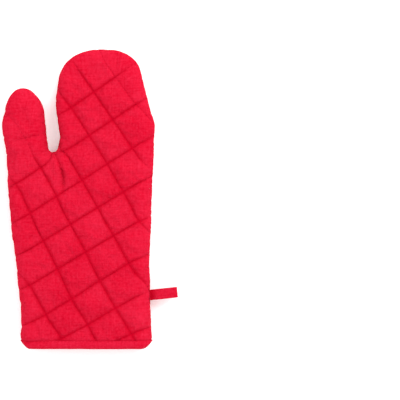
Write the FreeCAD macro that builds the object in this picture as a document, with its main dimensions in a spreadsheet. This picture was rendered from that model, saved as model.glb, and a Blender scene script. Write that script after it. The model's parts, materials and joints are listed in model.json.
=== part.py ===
import FreeCAD, Part
import math
import os

import Sketcher
from FreeCAD import Placement, Rotation, Vector

# A quilted cotton oven mitt lying flat on its back panel.
#
# Frame, in millimetres: +Z up from the table, +Y towards the fingertips, +X towards the hanging
# loop. The origin is on the table under the middle of the whole mitt.
#
# The mitt is a front and a back panel, each of cover fabric, batting and lining, sewn together
# round the edge and turned right side out. Every layer lies between two nested copies of one
# filled shape, the mitt's outside moved inwards by a depth. The fabric folds at two lines, so
# each layer is cut there into a palm, a fingers and a thumb piece, one for each moving body.

# ---------------------------------------------------------------- driving dimensions

# The outline's corners, anticlockwise from the cuff: name, x, y and the radius that rounds it.
# The two cuff corners lie beyond the hand opening, where everything is cut off.
OUTLINE = [
    ("cuff_right", 64.3, -175, 0),
    ("waist_right", 59.8, -68, 400),
    ("knuckle_right", 65.8, 76, 25),
    ("tip_right", 46.5, 147.7, 29),
    ("tip_top", 9.9, 155, 72),
    ("tip_left", -28.2, 144.7, 34),
    ("hand_left", -36.9, 102, 70),
    ("gap_right", -31.7, 64.5, 15),
    ("crotch_right", -34.2, 48.5, 4.6),
    ("crotch_left", -42.7, 48.5, 4.6),
    ("thumb_right", -47.8, 98.2, 31),
    ("thumb_tip", -67.95, 118.4, 13.2),
    ("thumb_left", -84.3, 103.6, 26),
    ("thumb_side", -90.1, 74, 50),
    ("thumb_root", -85.4, 42, 80),
    ("heel_left", -84.7, 8, 150),
    ("cuff_flare", -71, -112, 200),
    ("cuff_left", -70.6, -175, 0),
]

DIMENSIONS = [
    ("cuff_edge", -153, "y of the hand opening's edge"),
    ("tip_edge", 153, "y of the fingertips"),
    ("cuff_height", 28, "thickness of the mitt at the hand opening"),
    ("tip_height", 21, "thickness of the mitt at the fingertips"),
    ("front_round", 9.5, "radius of the front panel's edge"),
    ("back_round", 10.5, "radius of the back panel's edge"),
    ("seam_height", 11, "z of the side seam"),
    ("cover", 0.8, "thickness of the cover fabric"),
    ("batting", 3.9, "thickness of the batting"),
    ("lining", 0.8, "thickness of the lining"),
    ("allowance", 7, "width of the turned-in seam allowance"),
    ("pressed_batting", 1.5, "thickness of the batting in the seam allowance"),
    ("overlock", 0.5, "thickness of the overlock thread round the allowance"),
    ("seam_inset", 1.2, "distance of the seam thread from the mitt's edge"),
    ("seam_thread", 0.6, "width of the seam thread"),
    ("binding_width", 9, "width of the band round the hand opening"),
    ("binding", 0.5, "thickness of the binding fabric"),
    ("bound_batting", 2.9, "thickness of the batting under the binding"),
    ("binding_corner", 8, "radius of the binding's corners, seen from above"),
    ("topstitch_inset", 0.9, "distance of the topstitch from the binding's upper edge"),
    ("quilt_angle", 31.5, "angle of the quilting lines that rise to the right, in degrees"),
    ("quilt_pitch", 32.5, "distance between quilting lines"),
    ("quilt_rise_offset", -140.5, "distance from the origin to the lowest rising quilting line"),
    ("quilt_fall_offset", -129, "distance from the origin to the lowest falling quilting line"),
    ("quilt_start", 2, "distance of the quilting's ends from the side seam"),
    ("thread_width", 0.8, "width of a thread laid in the fabric"),
    ("quilt_count", 9, "number of quilting lines in each direction"),
    ("thread_depth", 0.3, "depth of a thread laid in the fabric"),
    ("fold_gap", 0.3, "gap between bodies at a fold line"),
    ("finger_fold", 84, "y of the line where the fingers fold"),
    ("crotch_middle", -38.4, "x of the lowest point between thumb and hand"),
    ("crotch_floor", 48.5, "y of the lowest point between thumb and hand"),
    ("thumb_fold_angle", 36.8, "angle of the line where the thumb folds, in degrees"),
    ("loop_ply", 0.9, "thickness of one ply of the loop's tape"),
    ("loop_width", 11, "width of the loop's tape"),
    ("loop_root_x", 62.7, "x of the line that the loop swings about"),
    ("loop_root_y", -96.8, "y of the middle of the loop's root"),
    ("loop_reach", 26.3, "distance from the loop's root to its folded end"),
    ("loop_eye", 3.6, "inner radius of the loop's folded end"),
    ("loop_closed", 7, "length over which the loop's plies lie together"),
    ("loop_turn", 6, "angle of the loop from the x axis, in degrees"),
    ("tail_length", 8, "length of the loop's tail in the seam"),
    ("tail_thickness", 0.8, "thickness of the tail, pressed in the seam"),
    ("bartack_x", 55, "x of the bartack beside the loop's root"),
    ("bartack_width", 2, "width of the bartack"),
    ("bartack_length", 13, "length of the bartack"),
    ("beyond", 60, "how far a cutting shape reaches past what it cuts"),
]

doc = FreeCAD.newDocument("oven_mitt")
sheet = doc.addObject("Spreadsheet::Sheet", "dim")
UP = Vector(0, 0, 1)
RIGHT = Vector(1, 0, 0)


def fill_sheet():
    rows = list(DIMENSIONS)
    for name, x, y, radius in OUTLINE:
        rows.append((name + "_x", x, "x of this corner of the outline"))
        rows.append((name + "_y", y, "y of this corner of the outline"))
        rows.append((name + "_round", radius, "radius that rounds this corner"))
    for row, (alias, value, meaning) in enumerate(rows, start=1):
        sheet.set("A%d" % row, alias)
        sheet.set("B%d" % row, str(value))
        sheet.set("C%d" % row, meaning)
        sheet.setAlias("B%d" % row, alias)
    doc.recompute()


def value(formula):
    """The number that a formula of the sheet's cells gives, such as 'dim.cover + dim.batting'."""
    return float(sheet.evalExpression(formula))


# ---------------------------------------------------------------- sketches


def drive(sketch, name, kind, geometry, position, formula):
    """Add a dimension to a sketch and bind it to a formula."""
    if position is None:
        rule = Sketcher.Constraint(kind, geometry, value(formula))
    else:
        rule = Sketcher.Constraint(kind, geometry, position, value(formula))
    index = sketch.addConstraint(rule)
    sketch.renameConstraint(index, name)
    sketch.setExpression("Constraints." + name, formula)


def corner_arc(before, corner, after, radius):
    """Centre, both ends and turning sense of the arc that rounds a corner."""
    back = (before - corner).normalize()
    ahead = (after - corner).normalize()
    half = back.getAngle(ahead) / 2
    centre = corner + (back + ahead).normalize() * (radius / math.sin(half))
    reach = radius / math.tan(half)
    turns_left = back.cross(ahead).z < 0
    return centre, corner + back * reach, corner + ahead * reach, turns_left


def add_arc(sketch, centre, radius, start, end):
    """Add the arc that runs anticlockwise from start to end."""
    span = [math.atan2(point.y - centre.y, point.x - centre.x) for point in (start, end)]
    return sketch.addGeometry(Part.ArcOfCircle(Part.Circle(centre, UP, radius), span[0], span[1]))


def rounded_sketch(name, corners):
    """A closed outline of straight lines, with a tangent arc at each corner that has a radius.

    Each corner is a name and the formulas of its x, its y and its radius, "0" for a sharp one.
    """
    sketch = doc.addObject("Sketcher::SketchObject", name)
    count = len(corners)
    points = [Vector(value(x), value(y), 0) for _, x, y, _ in corners]
    arcs = {}
    for i, (_, _, _, radius) in enumerate(corners):
        if value(radius) > 0:
            arcs[i] = corner_arc(points[i - 1], points[i], points[(i + 1) % count], value(radius))
    for i in range(count):
        following = (i + 1) % count
        start = arcs[i][2] if i in arcs else points[i]
        end = arcs[following][1] if following in arcs else points[following]
        sketch.addGeometry(Part.LineSegment(start, end))
    rules = []
    dimensions = []
    for i, (corner, x, y, radius) in enumerate(corners):
        line_in = (i - 1) % count
        marked, position = i, 1
        if i in arcs:
            centre, start, end, turns_left = arcs[i]
            first, last = (start, end) if turns_left else (end, start)
            arc = add_arc(sketch, centre, value(radius), first, last)
            marked = sketch.addGeometry(Part.Point(points[i]), True)
            entry, leave = (1, 2) if turns_left else (2, 1)
            rules.append(Sketcher.Constraint("Tangent", line_in, 2, arc, entry))
            rules.append(Sketcher.Constraint("Tangent", arc, leave, i, 1))
            rules.append(Sketcher.Constraint("PointOnObject", marked, 1, line_in))
            rules.append(Sketcher.Constraint("PointOnObject", marked, 1, i))
            dimensions.append((corner + "_round", "Radius", arc, None, radius))
        else:
            rules.append(Sketcher.Constraint("Coincident", line_in, 2, i, 1))
        dimensions.append((corner + "_x", "DistanceX", marked, position, x))
        dimensions.append((corner + "_y", "DistanceY", marked, position, y))
    sketch.addConstraint(rules)
    for dimension in dimensions:
        drive(sketch, *dimension)
    return sketch


# ---------------------------------------------------------------- solids


def bind(item, **formulas):
    for name, formula in formulas.items():
        item.setExpression(name, formula)
    return item


def box(name, low, high):
    """A box between two corners, each coordinate given as a formula."""
    item = doc.addObject("Part::Box", name)
    for axis, start, end, length in zip("xyz", low, high, ("Length", "Width", "Height")):
        item.setExpression("Placement.Base." + axis, start)
        item.setExpression(length, "(%s) - (%s)" % (end, start))
    return item


def cut(name, base, tool):
    item = doc.addObject("Part::Cut", name)
    item.Base = base
    item.Tool = tool
    return item


def common(name, base, tool):
    item = doc.addObject("Part::Common", name)
    item.Base = base
    item.Tool = tool
    return item


def fuse(name, items):
    item = doc.addObject("Part::MultiFuse", name)
    item.Shapes = items
    return item


def prism(name, outline, direction, forward, backward="0"):
    item = doc.addObject("Part::Extrusion", name)
    item.Base = outline
    item.DirMode = "Custom"
    item.Dir = direction
    item.Solid = True
    return bind(item, LengthFwd=forward, LengthRev=backward)


def inset(name, outline, distance):
    """The outline moved inwards, or the outline itself where the distance is nothing."""
    if distance == "0":
        return outline
    item = doc.addObject("Part::Offset2D", name)
    item.Source = outline
    item.Join = "Intersection"
    return bind(item, Value="-(%s)" % distance)


def nested(name, depth):
    """The filled mitt with its whole outside moved inwards by a depth.

    It is the outline, raised, within the side view, widened. The edges of its two faces are
    rounded, but not where it runs on past the hand opening.
    """
    raised = prism(name + "_raised", inset(name + "_plan", mitt_outline, depth), UP,
                   "2 * dim.cuff_height")
    widened = prism(name + "_widened", inset(name + "_side", side_view, depth), RIGHT,
                    "3 * dim.beyond", "3 * dim.beyond")
    blank = common(name + "_blank", raised, widened)
    doc.recompute()
    bounds = blank.Shape.BoundBox
    front_radius = value("dim.front_round - (%s)" % depth)
    back_radius = value("dim.back_round - (%s)" % depth)
    rounds = []
    for index, edge in enumerate(blank.Shape.Edges, start=1):
        middle = edge.valueAt((edge.FirstParameter + edge.LastParameter) / 2)
        upright = edge.BoundBox.ZLength > edge.BoundBox.DiagonalLength / 2
        if upright or middle.y < bounds.YMin + TOLERANCE:
            continue
        radius = back_radius if middle.z < bounds.ZMin + TOLERANCE else front_radius
        rounds.append((index, radius, radius))
    solid = doc.addObject("Part::Fillet", name)
    solid.Base = blank
    solid.Edges = rounds
    return solid


# ---------------------------------------------------------------- the mitt's shape

TOLERANCE = 0.01
fill_sheet()

mitt_outline = rounded_sketch("mitt_outline", [
    (name, "dim.%s_x" % name, "dim.%s_y" % name, "dim.%s_round" % name)
    for name, _, _, _ in OUTLINE
])

# Seen from the side the mitt thins evenly from the hand opening to the fingertips.
EXTRA_HEIGHT = "(dim.cuff_height - dim.tip_height) * dim.beyond / (dim.tip_edge - dim.cuff_edge)"
side_view = rounded_sketch("side_view", [
    ("cuff_back", "dim.cuff_edge - dim.beyond", "0", "0"),
    ("tip_back", "dim.tip_edge + dim.beyond", "0", "0"),
    ("tip_front", "dim.tip_edge + dim.beyond", "dim.tip_height - " + EXTRA_HEIGHT, "0"),
    ("cuff_front", "dim.cuff_edge - dim.beyond", "dim.cuff_height + " + EXTRA_HEIGHT, "0"),
])
side_view.Placement = Placement(Vector(0, 0, 0), Rotation(Vector(1, 1, 1), 120))

# Depths in the panel, and the same under the binding, where the batting is squeezed.
COVER_IN = "dim.cover"
BATTING_IN = "dim.cover + dim.batting"
LINING_IN = "dim.cover + dim.batting + dim.lining"
BOUND_COVER_IN = "dim.binding + dim.cover"
BOUND_BATTING_IN = "dim.binding + dim.cover + dim.bound_batting"
BOUND_LINING_IN = "dim.binding + dim.cover + dim.bound_batting + dim.lining"

outside = nested("outside", "0")
under_thread = nested("under_thread", "dim.thread_depth")
under_binding = nested("under_binding", "dim.binding")
under_cover = nested("under_cover", COVER_IN)
under_batting = nested("under_batting", BATTING_IN)
hollow = nested("hollow", LINING_IN)
under_bound_cover = nested("under_bound_cover", BOUND_COVER_IN)
under_bound_batting = nested("under_bound_batting", BOUND_BATTING_IN)
under_bound_lining = nested("under_bound_lining", BOUND_LINING_IN)

# ---------------------------------------------------------------- where things are cut

BINDING_TOP = "dim.cuff_edge + dim.binding_width"
FAR_LEFT = "-3 * dim.beyond"
FAR_RIGHT = "3 * dim.beyond"
FAR_UP = "dim.tip_edge + dim.beyond"
FAR_DOWN = "dim.cuff_edge - dim.beyond"


def seam_side(name, side, rise, low_y, high_y):
    """Everything on one side of the side seam, from a distance above or below it."""
    near = "dim.seam_height + (%s)" % rise
    far = "dim.seam_height + dim.beyond"
    if side == "back":
        near, far = "dim.seam_height - dim.beyond", "dim.seam_height - (%s)" % rise
    return box(name, (FAR_LEFT, low_y, near), (FAR_RIGHT, high_y, far))


# The hand opening's end, with round corners: the binding goes out to it, the layers stop short.
opening_outline = rounded_sketch("opening_outline", [
    ("right", "dim.cuff_right_x + (dim.waist_right_x - dim.cuff_right_x)"
     " * (dim.cuff_edge - dim.cuff_right_y) / (dim.waist_right_y - dim.cuff_right_y)",
     "dim.cuff_edge", "dim.binding_corner"),
    ("right_top", "dim.cuff_right_x", FAR_UP, "0"),
    ("left_top", "dim.cuff_flare_x", FAR_UP, "0"),
    ("left", "dim.cuff_left_x", "dim.cuff_edge", "dim.binding_corner"),
])
opening_end = prism("opening_end", opening_outline, UP, "dim.beyond", "dim.beyond")
layers_end = prism("layers_end", inset("layers_outline", opening_outline, "dim.binding"), UP,
                   "dim.beyond", "dim.beyond")
binding_band = box("binding_band", (FAR_LEFT, FAR_DOWN, "-dim.beyond"),
                   (FAR_RIGHT, BINDING_TOP, "dim.beyond"))


def edge_ring(name, outer, inner, half_height):
    """An upright ring round the mitt between two distances from its edge, above the binding."""
    whole = prism(name + "_outer", inset(name + "_outer_line", mitt_outline, outer), UP,
                  "dim.seam_height + " + half_height)
    hole = prism(name + "_inner", inset(name + "_inner_line", mitt_outline, inner), UP,
                 "dim.seam_height + " + half_height)
    height = box(name + "_height",
                 (FAR_LEFT, BINDING_TOP, "dim.seam_height - (%s)" % half_height),
                 (FAR_RIGHT, FAR_UP, "dim.seam_height + (%s)" % half_height))
    return common(name, cut(name + "_wall", whole, hole), height)


# Height of the seam allowance above the seam, layer by layer.
COVER_RISE = "dim.cover"
BATTING_RISE = "dim.cover + dim.pressed_batting"
LINING_RISE = "dim.cover + dim.pressed_batting + dim.lining"

allowance_hole = common(
    "allowance_hole",
    prism("allowance_hole_raised", inset("allowance_line", mitt_outline, "dim.allowance"), UP,
          "dim.beyond"),
    box("allowance_height",
        (FAR_LEFT, FAR_DOWN, "dim.seam_height - (%s)" % LINING_RISE),
        (FAR_RIGHT, FAR_UP, "dim.seam_height + (%s)" % LINING_RISE)))

# The fold lines. The thumb's runs from the bottom of the gap between thumb and hand to the left
# edge. Each moving piece keeps half the fold's gap clear, and so does the palm.
FOLD_X = "cos(dim.thumb_fold_angle)"
FOLD_Y = "sin(dim.thumb_fold_angle)"


def thumb_side(name, shift):
    """Everything on the thumb's side of its fold line, moved towards the thumb by a shift."""
    middle = ("dim.crotch_middle - (%s) * %s" % (shift, FOLD_Y),
              "dim.crotch_floor + (%s) * %s" % (shift, FOLD_X))
    outer = ("%s - 2 * dim.beyond * %s" % (middle[0], FOLD_X),
             "%s - 2 * dim.beyond * %s" % (middle[1], FOLD_Y))
    sketch = rounded_sketch(name + "_outline", [
        ("middle", middle[0], middle[1], "0"),
        ("middle_top", middle[0], "dim.tip_edge", "0"),
        ("outer_top", outer[0], "dim.tip_edge", "0"),
        ("outer", outer[0], outer[1], "0"),
    ])
    return prism(name, sketch, UP, "dim.beyond", "dim.beyond")


def fingers_side(name, shift):
    """Everything beyond the fingers' fold line, moved towards the fingertips by a shift."""
    return box(name, ("dim.crotch_middle", "dim.finger_fold + (%s)" % shift, "-dim.beyond"),
               (FAR_RIGHT, FAR_UP, "dim.beyond"))


thumb_region = thumb_side("thumb_region", "dim.fold_gap / 2")
fingers_region = fingers_side("fingers_region", "dim.fold_gap / 2")
not_palm = fuse("not_palm", [thumb_side("thumb_clearance", "-dim.fold_gap / 2"),
                             fingers_side("fingers_clearance", "-dim.fold_gap / 2")])

# ---------------------------------------------------------------- the pieces

nodes = []


def keep(item, label):
    item.Label = label
    nodes.append(item)
    return item


def split_at_folds(stem, item):
    """Keep the palm's, the fingers' and the thumb's stretch of one piece."""
    keep(cut("palm_" + stem, item, not_palm), "palm_" + stem)
    keep(common("fingers_" + stem, item, fingers_region), "fingers_" + stem)
    keep(common("thumb_" + stem, item, thumb_region), "thumb_" + stem)


def loop_tail():
    """The loop's two plies where they are pressed between the panels in the side seam."""
    strip = doc.addObject("Part::Box", "tail_strip")
    bind(strip, Length="dim.tail_length", Width="dim.loop_width", Height="dim.tail_thickness")
    turn = Rotation(UP, value("dim.loop_turn"))
    corner = Vector(-value("dim.tail_length"), -value("dim.loop_width") / 2,
                    -value("dim.tail_thickness") / 2)
    root = Vector(value("dim.loop_root_x"), value("dim.loop_root_y"), value("dim.seam_height"))
    strip.Placement = Placement(root + turn.multVec(corner), turn)
    return keep(common("loop_tail", strip, outside), "loop_tail")


def quilting_strips():
    """Upright plates on the quilting lines: one family rises to the right, the other falls."""
    strips = []
    families = (("rising", "dim.quilt_angle", "dim.quilt_rise_offset"),
                ("falling", "dim.quilt_angle + 90", "-dim.quilt_fall_offset"))
    for family, angle, offset in families:
        step = "dim.quilt_pitch" if family == "rising" else "-dim.quilt_pitch"
        turn = Rotation(UP, value(angle))
        for number in range(int(value("dim.quilt_count"))):
            plate = doc.addObject("Part::Box", "%s_plate_%d" % (family, number))
            bind(plate, Length="6 * dim.beyond", Width="dim.thread_width", Height="dim.beyond")
            across = value("%s + %d * %s - dim.thread_width / 2" % (offset, number, step))
            corner = Vector(-value("3 * dim.beyond"), across, -TOLERANCE)
            plate.Placement = Placement(turn.multVec(corner), turn)
            strips.append(plate)
    return fuse("quilting_strips", strips)


tail = loop_tail()
surface = cut("surface", outside, under_thread)
strips = quilting_strips()
bartack_box = box("bartack_box",
                  ("dim.bartack_x", "dim.loop_root_y - dim.bartack_length / 2", "dim.seam_height"),
                  ("dim.bartack_x + dim.bartack_width", "dim.loop_root_y + dim.bartack_length / 2",
                   "dim.beyond"))
bartack = keep(common("loop_bartack", surface, bartack_box), "loop_bartack")

quilting = {}
for side in ("front", "back"):
    quilted = common(side + "_quilted_surface", surface,
                     seam_side(side + "_quilted", side, "dim.quilt_start",
                               BINDING_TOP + " + dim.quilt_start", FAR_UP))
    lines = common(side + "_quilting_lines", quilted, strips)
    quilting[side] = cut(side + "_quilting_thread", lines, bartack_box)
    split_at_folds(side + "_quilting_thread", quilting[side])

seam_ring = edge_ring("seam_ring", "dim.seam_inset", "dim.seam_inset + dim.seam_thread",
                      "dim.cover / 2")
split_at_folds("seam_thread", cut("seam_thread", seam_ring, tail))
overlock = edge_ring("overlock", "dim.allowance", "dim.allowance + dim.overlock", LINING_RISE)
split_at_folds("overlock_thread", overlock)


def layer(name, side, panel, allowance, bound):
    """One layer of a panel, with its part of the seam allowance and of the bound edge.

    panel and bound are the nested solids outside and inside of the layer. allowance is how far
    from the seam the layer starts and ends where it is turned in.
    """
    filled = common(name + "_filled", panel[0],
                    seam_side(name + "_outer_side", side, allowance[0], BINDING_TOP, FAR_UP))
    room = common(name + "_room", panel[1],
                  seam_side(name + "_inner_side", side, allowance[1], FAR_DOWN, FAR_UP))
    main = cut(name + "_main", cut(name + "_walls", filled, room), allowance_hole)
    wall = cut(name + "_bound_wall", bound[0], bound[1])
    ended = common(name + "_ended", wall, layers_end)
    edge = common(name + "_edge", ended,
                  seam_side(name + "_edge_side", side, "0", FAR_DOWN, BINDING_TOP))
    return fuse(name, [main, edge])


for side in ("front", "back"):
    cover = layer(side + "_cover_whole", side, (outside, under_cover), ("0", COVER_RISE),
                  (under_binding, under_bound_cover))
    laid_in = fuse(side + "_laid_in", [quilting[side], seam_ring, tail, bartack])
    split_at_folds(side + "_cover", cut(side + "_cover_slotted", cover, laid_in))
    split_at_folds(side + "_batting", layer(
        side + "_batting_whole", side, (under_cover, under_batting), (COVER_RISE, BATTING_RISE),
        (under_bound_cover, under_bound_batting)))
    split_at_folds(side + "_lining", layer(
        side + "_lining_whole", side, (under_batting, hollow), (BATTING_RISE, LINING_RISE),
        (under_bound_batting, under_bound_lining)))


def cuff_binding():
    """The binding, folded over the edge of both panels, and the thread that sews it down."""
    outer = common("binding_outer", common("binding_ended", outside, opening_end), binding_band)
    folded = cut("binding_folded", outer, hollow)
    covered = common("binding_covers", cut("bound_layers", under_binding, under_bound_lining),
                     layers_end)
    stitch_y = "%s - dim.topstitch_inset" % BINDING_TOP
    stitches = box("topstitch_box", (FAR_LEFT, stitch_y + " - dim.thread_width", "-dim.beyond"),
                   (FAR_RIGHT, stitch_y, "dim.beyond"))
    topstitch = keep(common("binding_topstitch", surface, stitches), "binding_topstitch")
    keep(cut("cuff_binding", cut("binding_strip", folded, covered), topstitch), "cuff_binding")


cuff_binding()


def belt_sketch(body, name, root, root_radius, end, end_radius):
    """Two circles' common outline, or a drop with a sharp root where its radius is nothing.

    root and end are the formulas of the circles' centres, in the upright plane of the loop.
    """
    sketch = body.newObject("Sketcher::SketchObject", name)
    upright = [plane for plane in body.Origin.OriginFeatures if plane.Role == "XZ_Plane"][0]
    sketch.AttachmentSupport = [(upright, "")]
    sketch.MapMode = "FlatFace"
    start = Vector(value(root[0]), value(root[1]), 0)
    finish = Vector(value(end[0]), value(end[1]), 0)
    small, large = value(root_radius), value(end_radius)
    along = (finish - start).normalize()
    aside = Vector(-along.y, along.x, 0)
    lean = math.asin((large - small) / (finish - start).Length)
    upper = aside * math.cos(lean) - along * math.sin(lean)
    lower = -aside * math.cos(lean) - along * math.sin(lean)
    top = sketch.addGeometry(Part.LineSegment(start + upper * small, finish + upper * large))
    bottom = sketch.addGeometry(Part.LineSegment(start + lower * small, finish + lower * large))
    bend = add_arc(sketch, finish, large, finish + lower * large, finish + upper * large)
    rules = [Sketcher.Constraint("Tangent", top, 2, bend, 2),
             Sketcher.Constraint("Tangent", bottom, 2, bend, 1)]
    centre = (top, 1)
    if small > 0:
        heel = add_arc(sketch, start, small, start + upper * small, start + lower * small)
        rules.append(Sketcher.Constraint("Tangent", top, 1, heel, 1))
        rules.append(Sketcher.Constraint("Tangent", bottom, 1, heel, 2))
        centre = (heel, 3)
    else:
        rules.append(Sketcher.Constraint("Coincident", top, 1, bottom, 1))
    sketch.addConstraint(rules)
    if small > 0:
        drive(sketch, "root_radius", "Radius", heel, None, root_radius)
    drive(sketch, "end_radius", "Radius", bend, None, end_radius)
    drive(sketch, "root_x", "DistanceX", centre[0], centre[1], root[0])
    drive(sketch, "root_y", "DistanceY", centre[0], centre[1], root[1])
    drive(sketch, "end_x", "DistanceX", bend, 3, end[0])
    drive(sketch, "end_y", "DistanceY", bend, 3, end[1])
    return sketch


def hanging_loop():
    """The folded tape, from the line that it swings about to its fold, which rests on the table.

    Its two plies lie together at the root and part round the eye.
    """
    body = doc.addObject("PartDesign::Body", "loop_body")
    fold_radius = "dim.loop_eye + dim.loop_ply"
    end = ("dim.loop_reach - (%s)" % fold_radius, "%s - dim.seam_height" % fold_radius)
    share = "dim.loop_closed / (%s)" % end[0]
    eye_start = ("dim.loop_closed", "(%s) * %s" % (end[1], share))
    pad = body.newObject("PartDesign::Pad", "loop_tape")
    pad.Profile = belt_sketch(body, "tape_outline", ("0", "0"), "dim.loop_ply", end, fold_radius)
    pad.SideType = "Symmetric"
    bind(pad, Length="dim.loop_width")
    doc.recompute()
    eye = body.newObject("PartDesign::Pocket", "loop_eye")
    eye.Profile = belt_sketch(body, "eye_outline", eye_start, "0", end, "dim.loop_eye")
    eye.Type = "ThroughAll"
    eye.SideType = "Symmetric"
    body.Tip = eye
    body.Placement = Placement(
        Vector(value("dim.loop_root_x"), value("dim.loop_root_y"), value("dim.seam_height")),
        Rotation(UP, value("dim.loop_turn")))
    keep(body, "hanging_loop")


hanging_loop()
doc.recompute()

# ---------------------------------------------------------------- checking and writing

for item in doc.Objects:
    if "Invalid" in item.State or "Error" in item.State:
        raise RuntimeError("%s could not be made: %s" % (item.Label, item.State))
for node in nodes:
    if node.Shape.isNull() or not node.Shape.isValid() or not node.Shape.Solids:
        raise RuntimeError("%s has no valid solid" % node.Label)

os.makedirs("parts", exist_ok=True)
for node in nodes:
    node.Shape.exportStep("parts/%s.step" % node.Label)
    print("%s: %d solid(s), %.0f cubic mm" % (node.Label, len(node.Shape.Solids), node.Shape.Volume))
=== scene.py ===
import json
import math

import bpy
import numpy as np
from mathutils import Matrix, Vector, geometry, noise
from mathutils.bvhtree import BVHTree


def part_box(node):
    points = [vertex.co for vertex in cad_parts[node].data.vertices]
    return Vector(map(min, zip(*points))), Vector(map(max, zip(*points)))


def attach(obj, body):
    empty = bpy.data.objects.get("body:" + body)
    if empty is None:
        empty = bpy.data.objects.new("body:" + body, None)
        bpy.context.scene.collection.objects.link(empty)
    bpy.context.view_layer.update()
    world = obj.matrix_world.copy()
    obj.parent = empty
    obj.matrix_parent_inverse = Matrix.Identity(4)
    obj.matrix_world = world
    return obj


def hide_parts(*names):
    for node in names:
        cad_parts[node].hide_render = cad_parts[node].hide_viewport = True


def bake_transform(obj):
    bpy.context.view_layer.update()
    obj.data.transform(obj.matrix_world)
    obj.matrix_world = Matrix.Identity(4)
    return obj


# A quilted cotton oven mitt lying flat. The cloth is worked out in millimetres on its flat
# pattern, x across and y towards the fingertips, and each mesh is written in metres.

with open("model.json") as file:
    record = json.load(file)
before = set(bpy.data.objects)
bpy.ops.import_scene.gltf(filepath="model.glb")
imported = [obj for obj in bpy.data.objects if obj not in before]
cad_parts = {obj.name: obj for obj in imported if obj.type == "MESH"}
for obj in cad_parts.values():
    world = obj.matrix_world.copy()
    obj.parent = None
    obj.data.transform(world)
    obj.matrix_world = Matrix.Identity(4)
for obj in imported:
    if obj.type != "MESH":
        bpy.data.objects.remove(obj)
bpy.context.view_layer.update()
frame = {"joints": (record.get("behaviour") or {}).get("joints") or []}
MM = 0.001


# ---------------------------------------------------------------- places from the frame


def box_mm(node):
    low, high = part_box(node)
    return np.array(low) / MM, np.array(high) / MM


def joint_named(name):
    return [joint for joint in frame["joints"] if joint["name"] == name][0]


BINDING_LOW, BINDING_HIGH = box_mm("cuff_binding")
FINGERS_LOW, FINGERS_HIGH = box_mm("fingers_front_cover")
CUFF_Y = BINDING_LOW[1]
BAND_Y = BINDING_HIGH[1]
SEAM_Z = FINGERS_LOW[2]
CUFF_TOP = BINDING_HIGH[2]
TOP_SLOPE = (FINGERS_HIGH[2] - CUFF_TOP) / (FINGERS_LOW[1] - CUFF_Y)
THUMB_FOLD = joint_named("thumb_fold")
CROTCH = np.array(THUMB_FOLD["pos_m"][:2]) / MM
FOLD_ALONG = np.array(THUMB_FOLD["axis"][:2])
LOOP_SWING = joint_named("loop_swing")
LOOP_ROOT = np.array(LOOP_SWING["pos_m"]) / MM
LOOP_ACROSS = -np.array(LOOP_SWING["axis"])
LOOP_ALONG = np.array([LOOP_ACROSS[1], -LOOP_ACROSS[0], 0])

# ---------------------------------------------------------------- the pattern

# The sewn outline's corners, anticlockwise from the cuff: x, y and the radius that rounds it.
OUTLINE = [
    (64.3, -175, 0), (59.8, -68, 400), (65.8, 76, 25), (46.5, 147.7, 29), (9.9, 155, 72),
    (-28.2, 144.7, 34), (-36.9, 102, 70), (-31.7, 64.5, 15), (-34.2, 48.5, 4.6),
    (-42.7, 48.5, 4.6), (-47.8, 98.2, 31), (-67.95, 118.4, 13.2), (-84.3, 103.6, 26),
    (-90.1, 74, 50), (-85.4, 42, 80), (-84.7, 8, 150), (-71, -112, 200), (-70.6, -175, 0),
]
OUTLINE_ARC_STEP = 0.5
OUTLINE_STEP = 0.8
EDGE_STEP = 1.6
GRID_STEP = 2.2
# Closer to the edge than this, the way out is the edge's own normal.
ON_EDGE = 0.4
CHUNK = 2000
NOISE_GAIN = 1.6

# The panels' section at the side seam.
FRONT_ROUND = 15.0
BACK_ROUND = 13.0
TUCK = 1.4
TUCK_ANGLE = 0.17
PANEL = 4.4
LINING = 0.9
CAVITY_INSET = 4.5
CROWN = 1.6
CROWN_REACH = 28.0
CROWN_START = 12.0
CROWN_SINK = 0.4
LEAST_HEIGHT = 0.5
TUCK_REACH = 2.6

# The quilting: how deep the stitched valleys are, and how full the cells between them.
VALLEY = 2.1
PILLOW = 1.1
# A valley's sharp middle and soft slopes: the share and width of each.
GROOVE_SHARE = 0.6
GROOVE_WIDTH = 1.25
SLOPE_SHARE = 0.4
SLOPE_WIDTH = 5.0
# The puckers beside a line of stitches: their height, length and reach.
PUCKER = 0.16
PUCKER_LENGTH = 6.3
PUCKER_REACH = 4.5
# Each family's direction, in radians, and its noise layer.
FAMILY_TURNS = (0.56, -1.04)
FAMILY_LAYERS = (3.1, 8.7)
# The broad and the fine unevenness of the whole cloth: height, size and noise layer.
BROAD = (0.45, 24, 1.3)
FINE = (0.2, 8.5, 5.2)
# The cloth is pressed flat under the binding, deepest along its upper edge.
BOUND_FLAT = 0.6
BOUND_DEPTH = 0.9
BOUND_EDGE = 0.6
BOUND_WIDTH = 1.3
QUILT_A_PITCH = 38.0
QUILT_A_WIDE_PITCH = 40.9
QUILT_A_START = 25.5
QUILT_B_PITCH = 37.8
QUILT_B_START = 3.5
LINE_GAP = 32.5
# How the two families run on the front: their slopes, and how they spread across the cloth.
RISING_SLOPE = 0.62
RISING_SPREAD = 0.0007
FALLING_SLOPE = 0.60
FALLING_SPREAD = 0.0011
# On the thumb the rising lines turn nearly level: by how much, about which place, and where.
THUMB_TURN = 0.5
THUMB_MIDDLE = 63
THUMB_TURN_UP = (42, 62)
THUMB_TURN_LEFT = (40, 48)
# On the back the lines are an even grid, leaning this way, with these offsets.
BACK_LEAN = (0.5225, 0.8526)
BACK_RISING_START = 9
BACK_FALLING_START = -4


def smooth(value, low, high):
    share = np.clip((value - low) / (high - low), 0, 1)
    return share * share * (3 - 2 * share)


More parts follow.
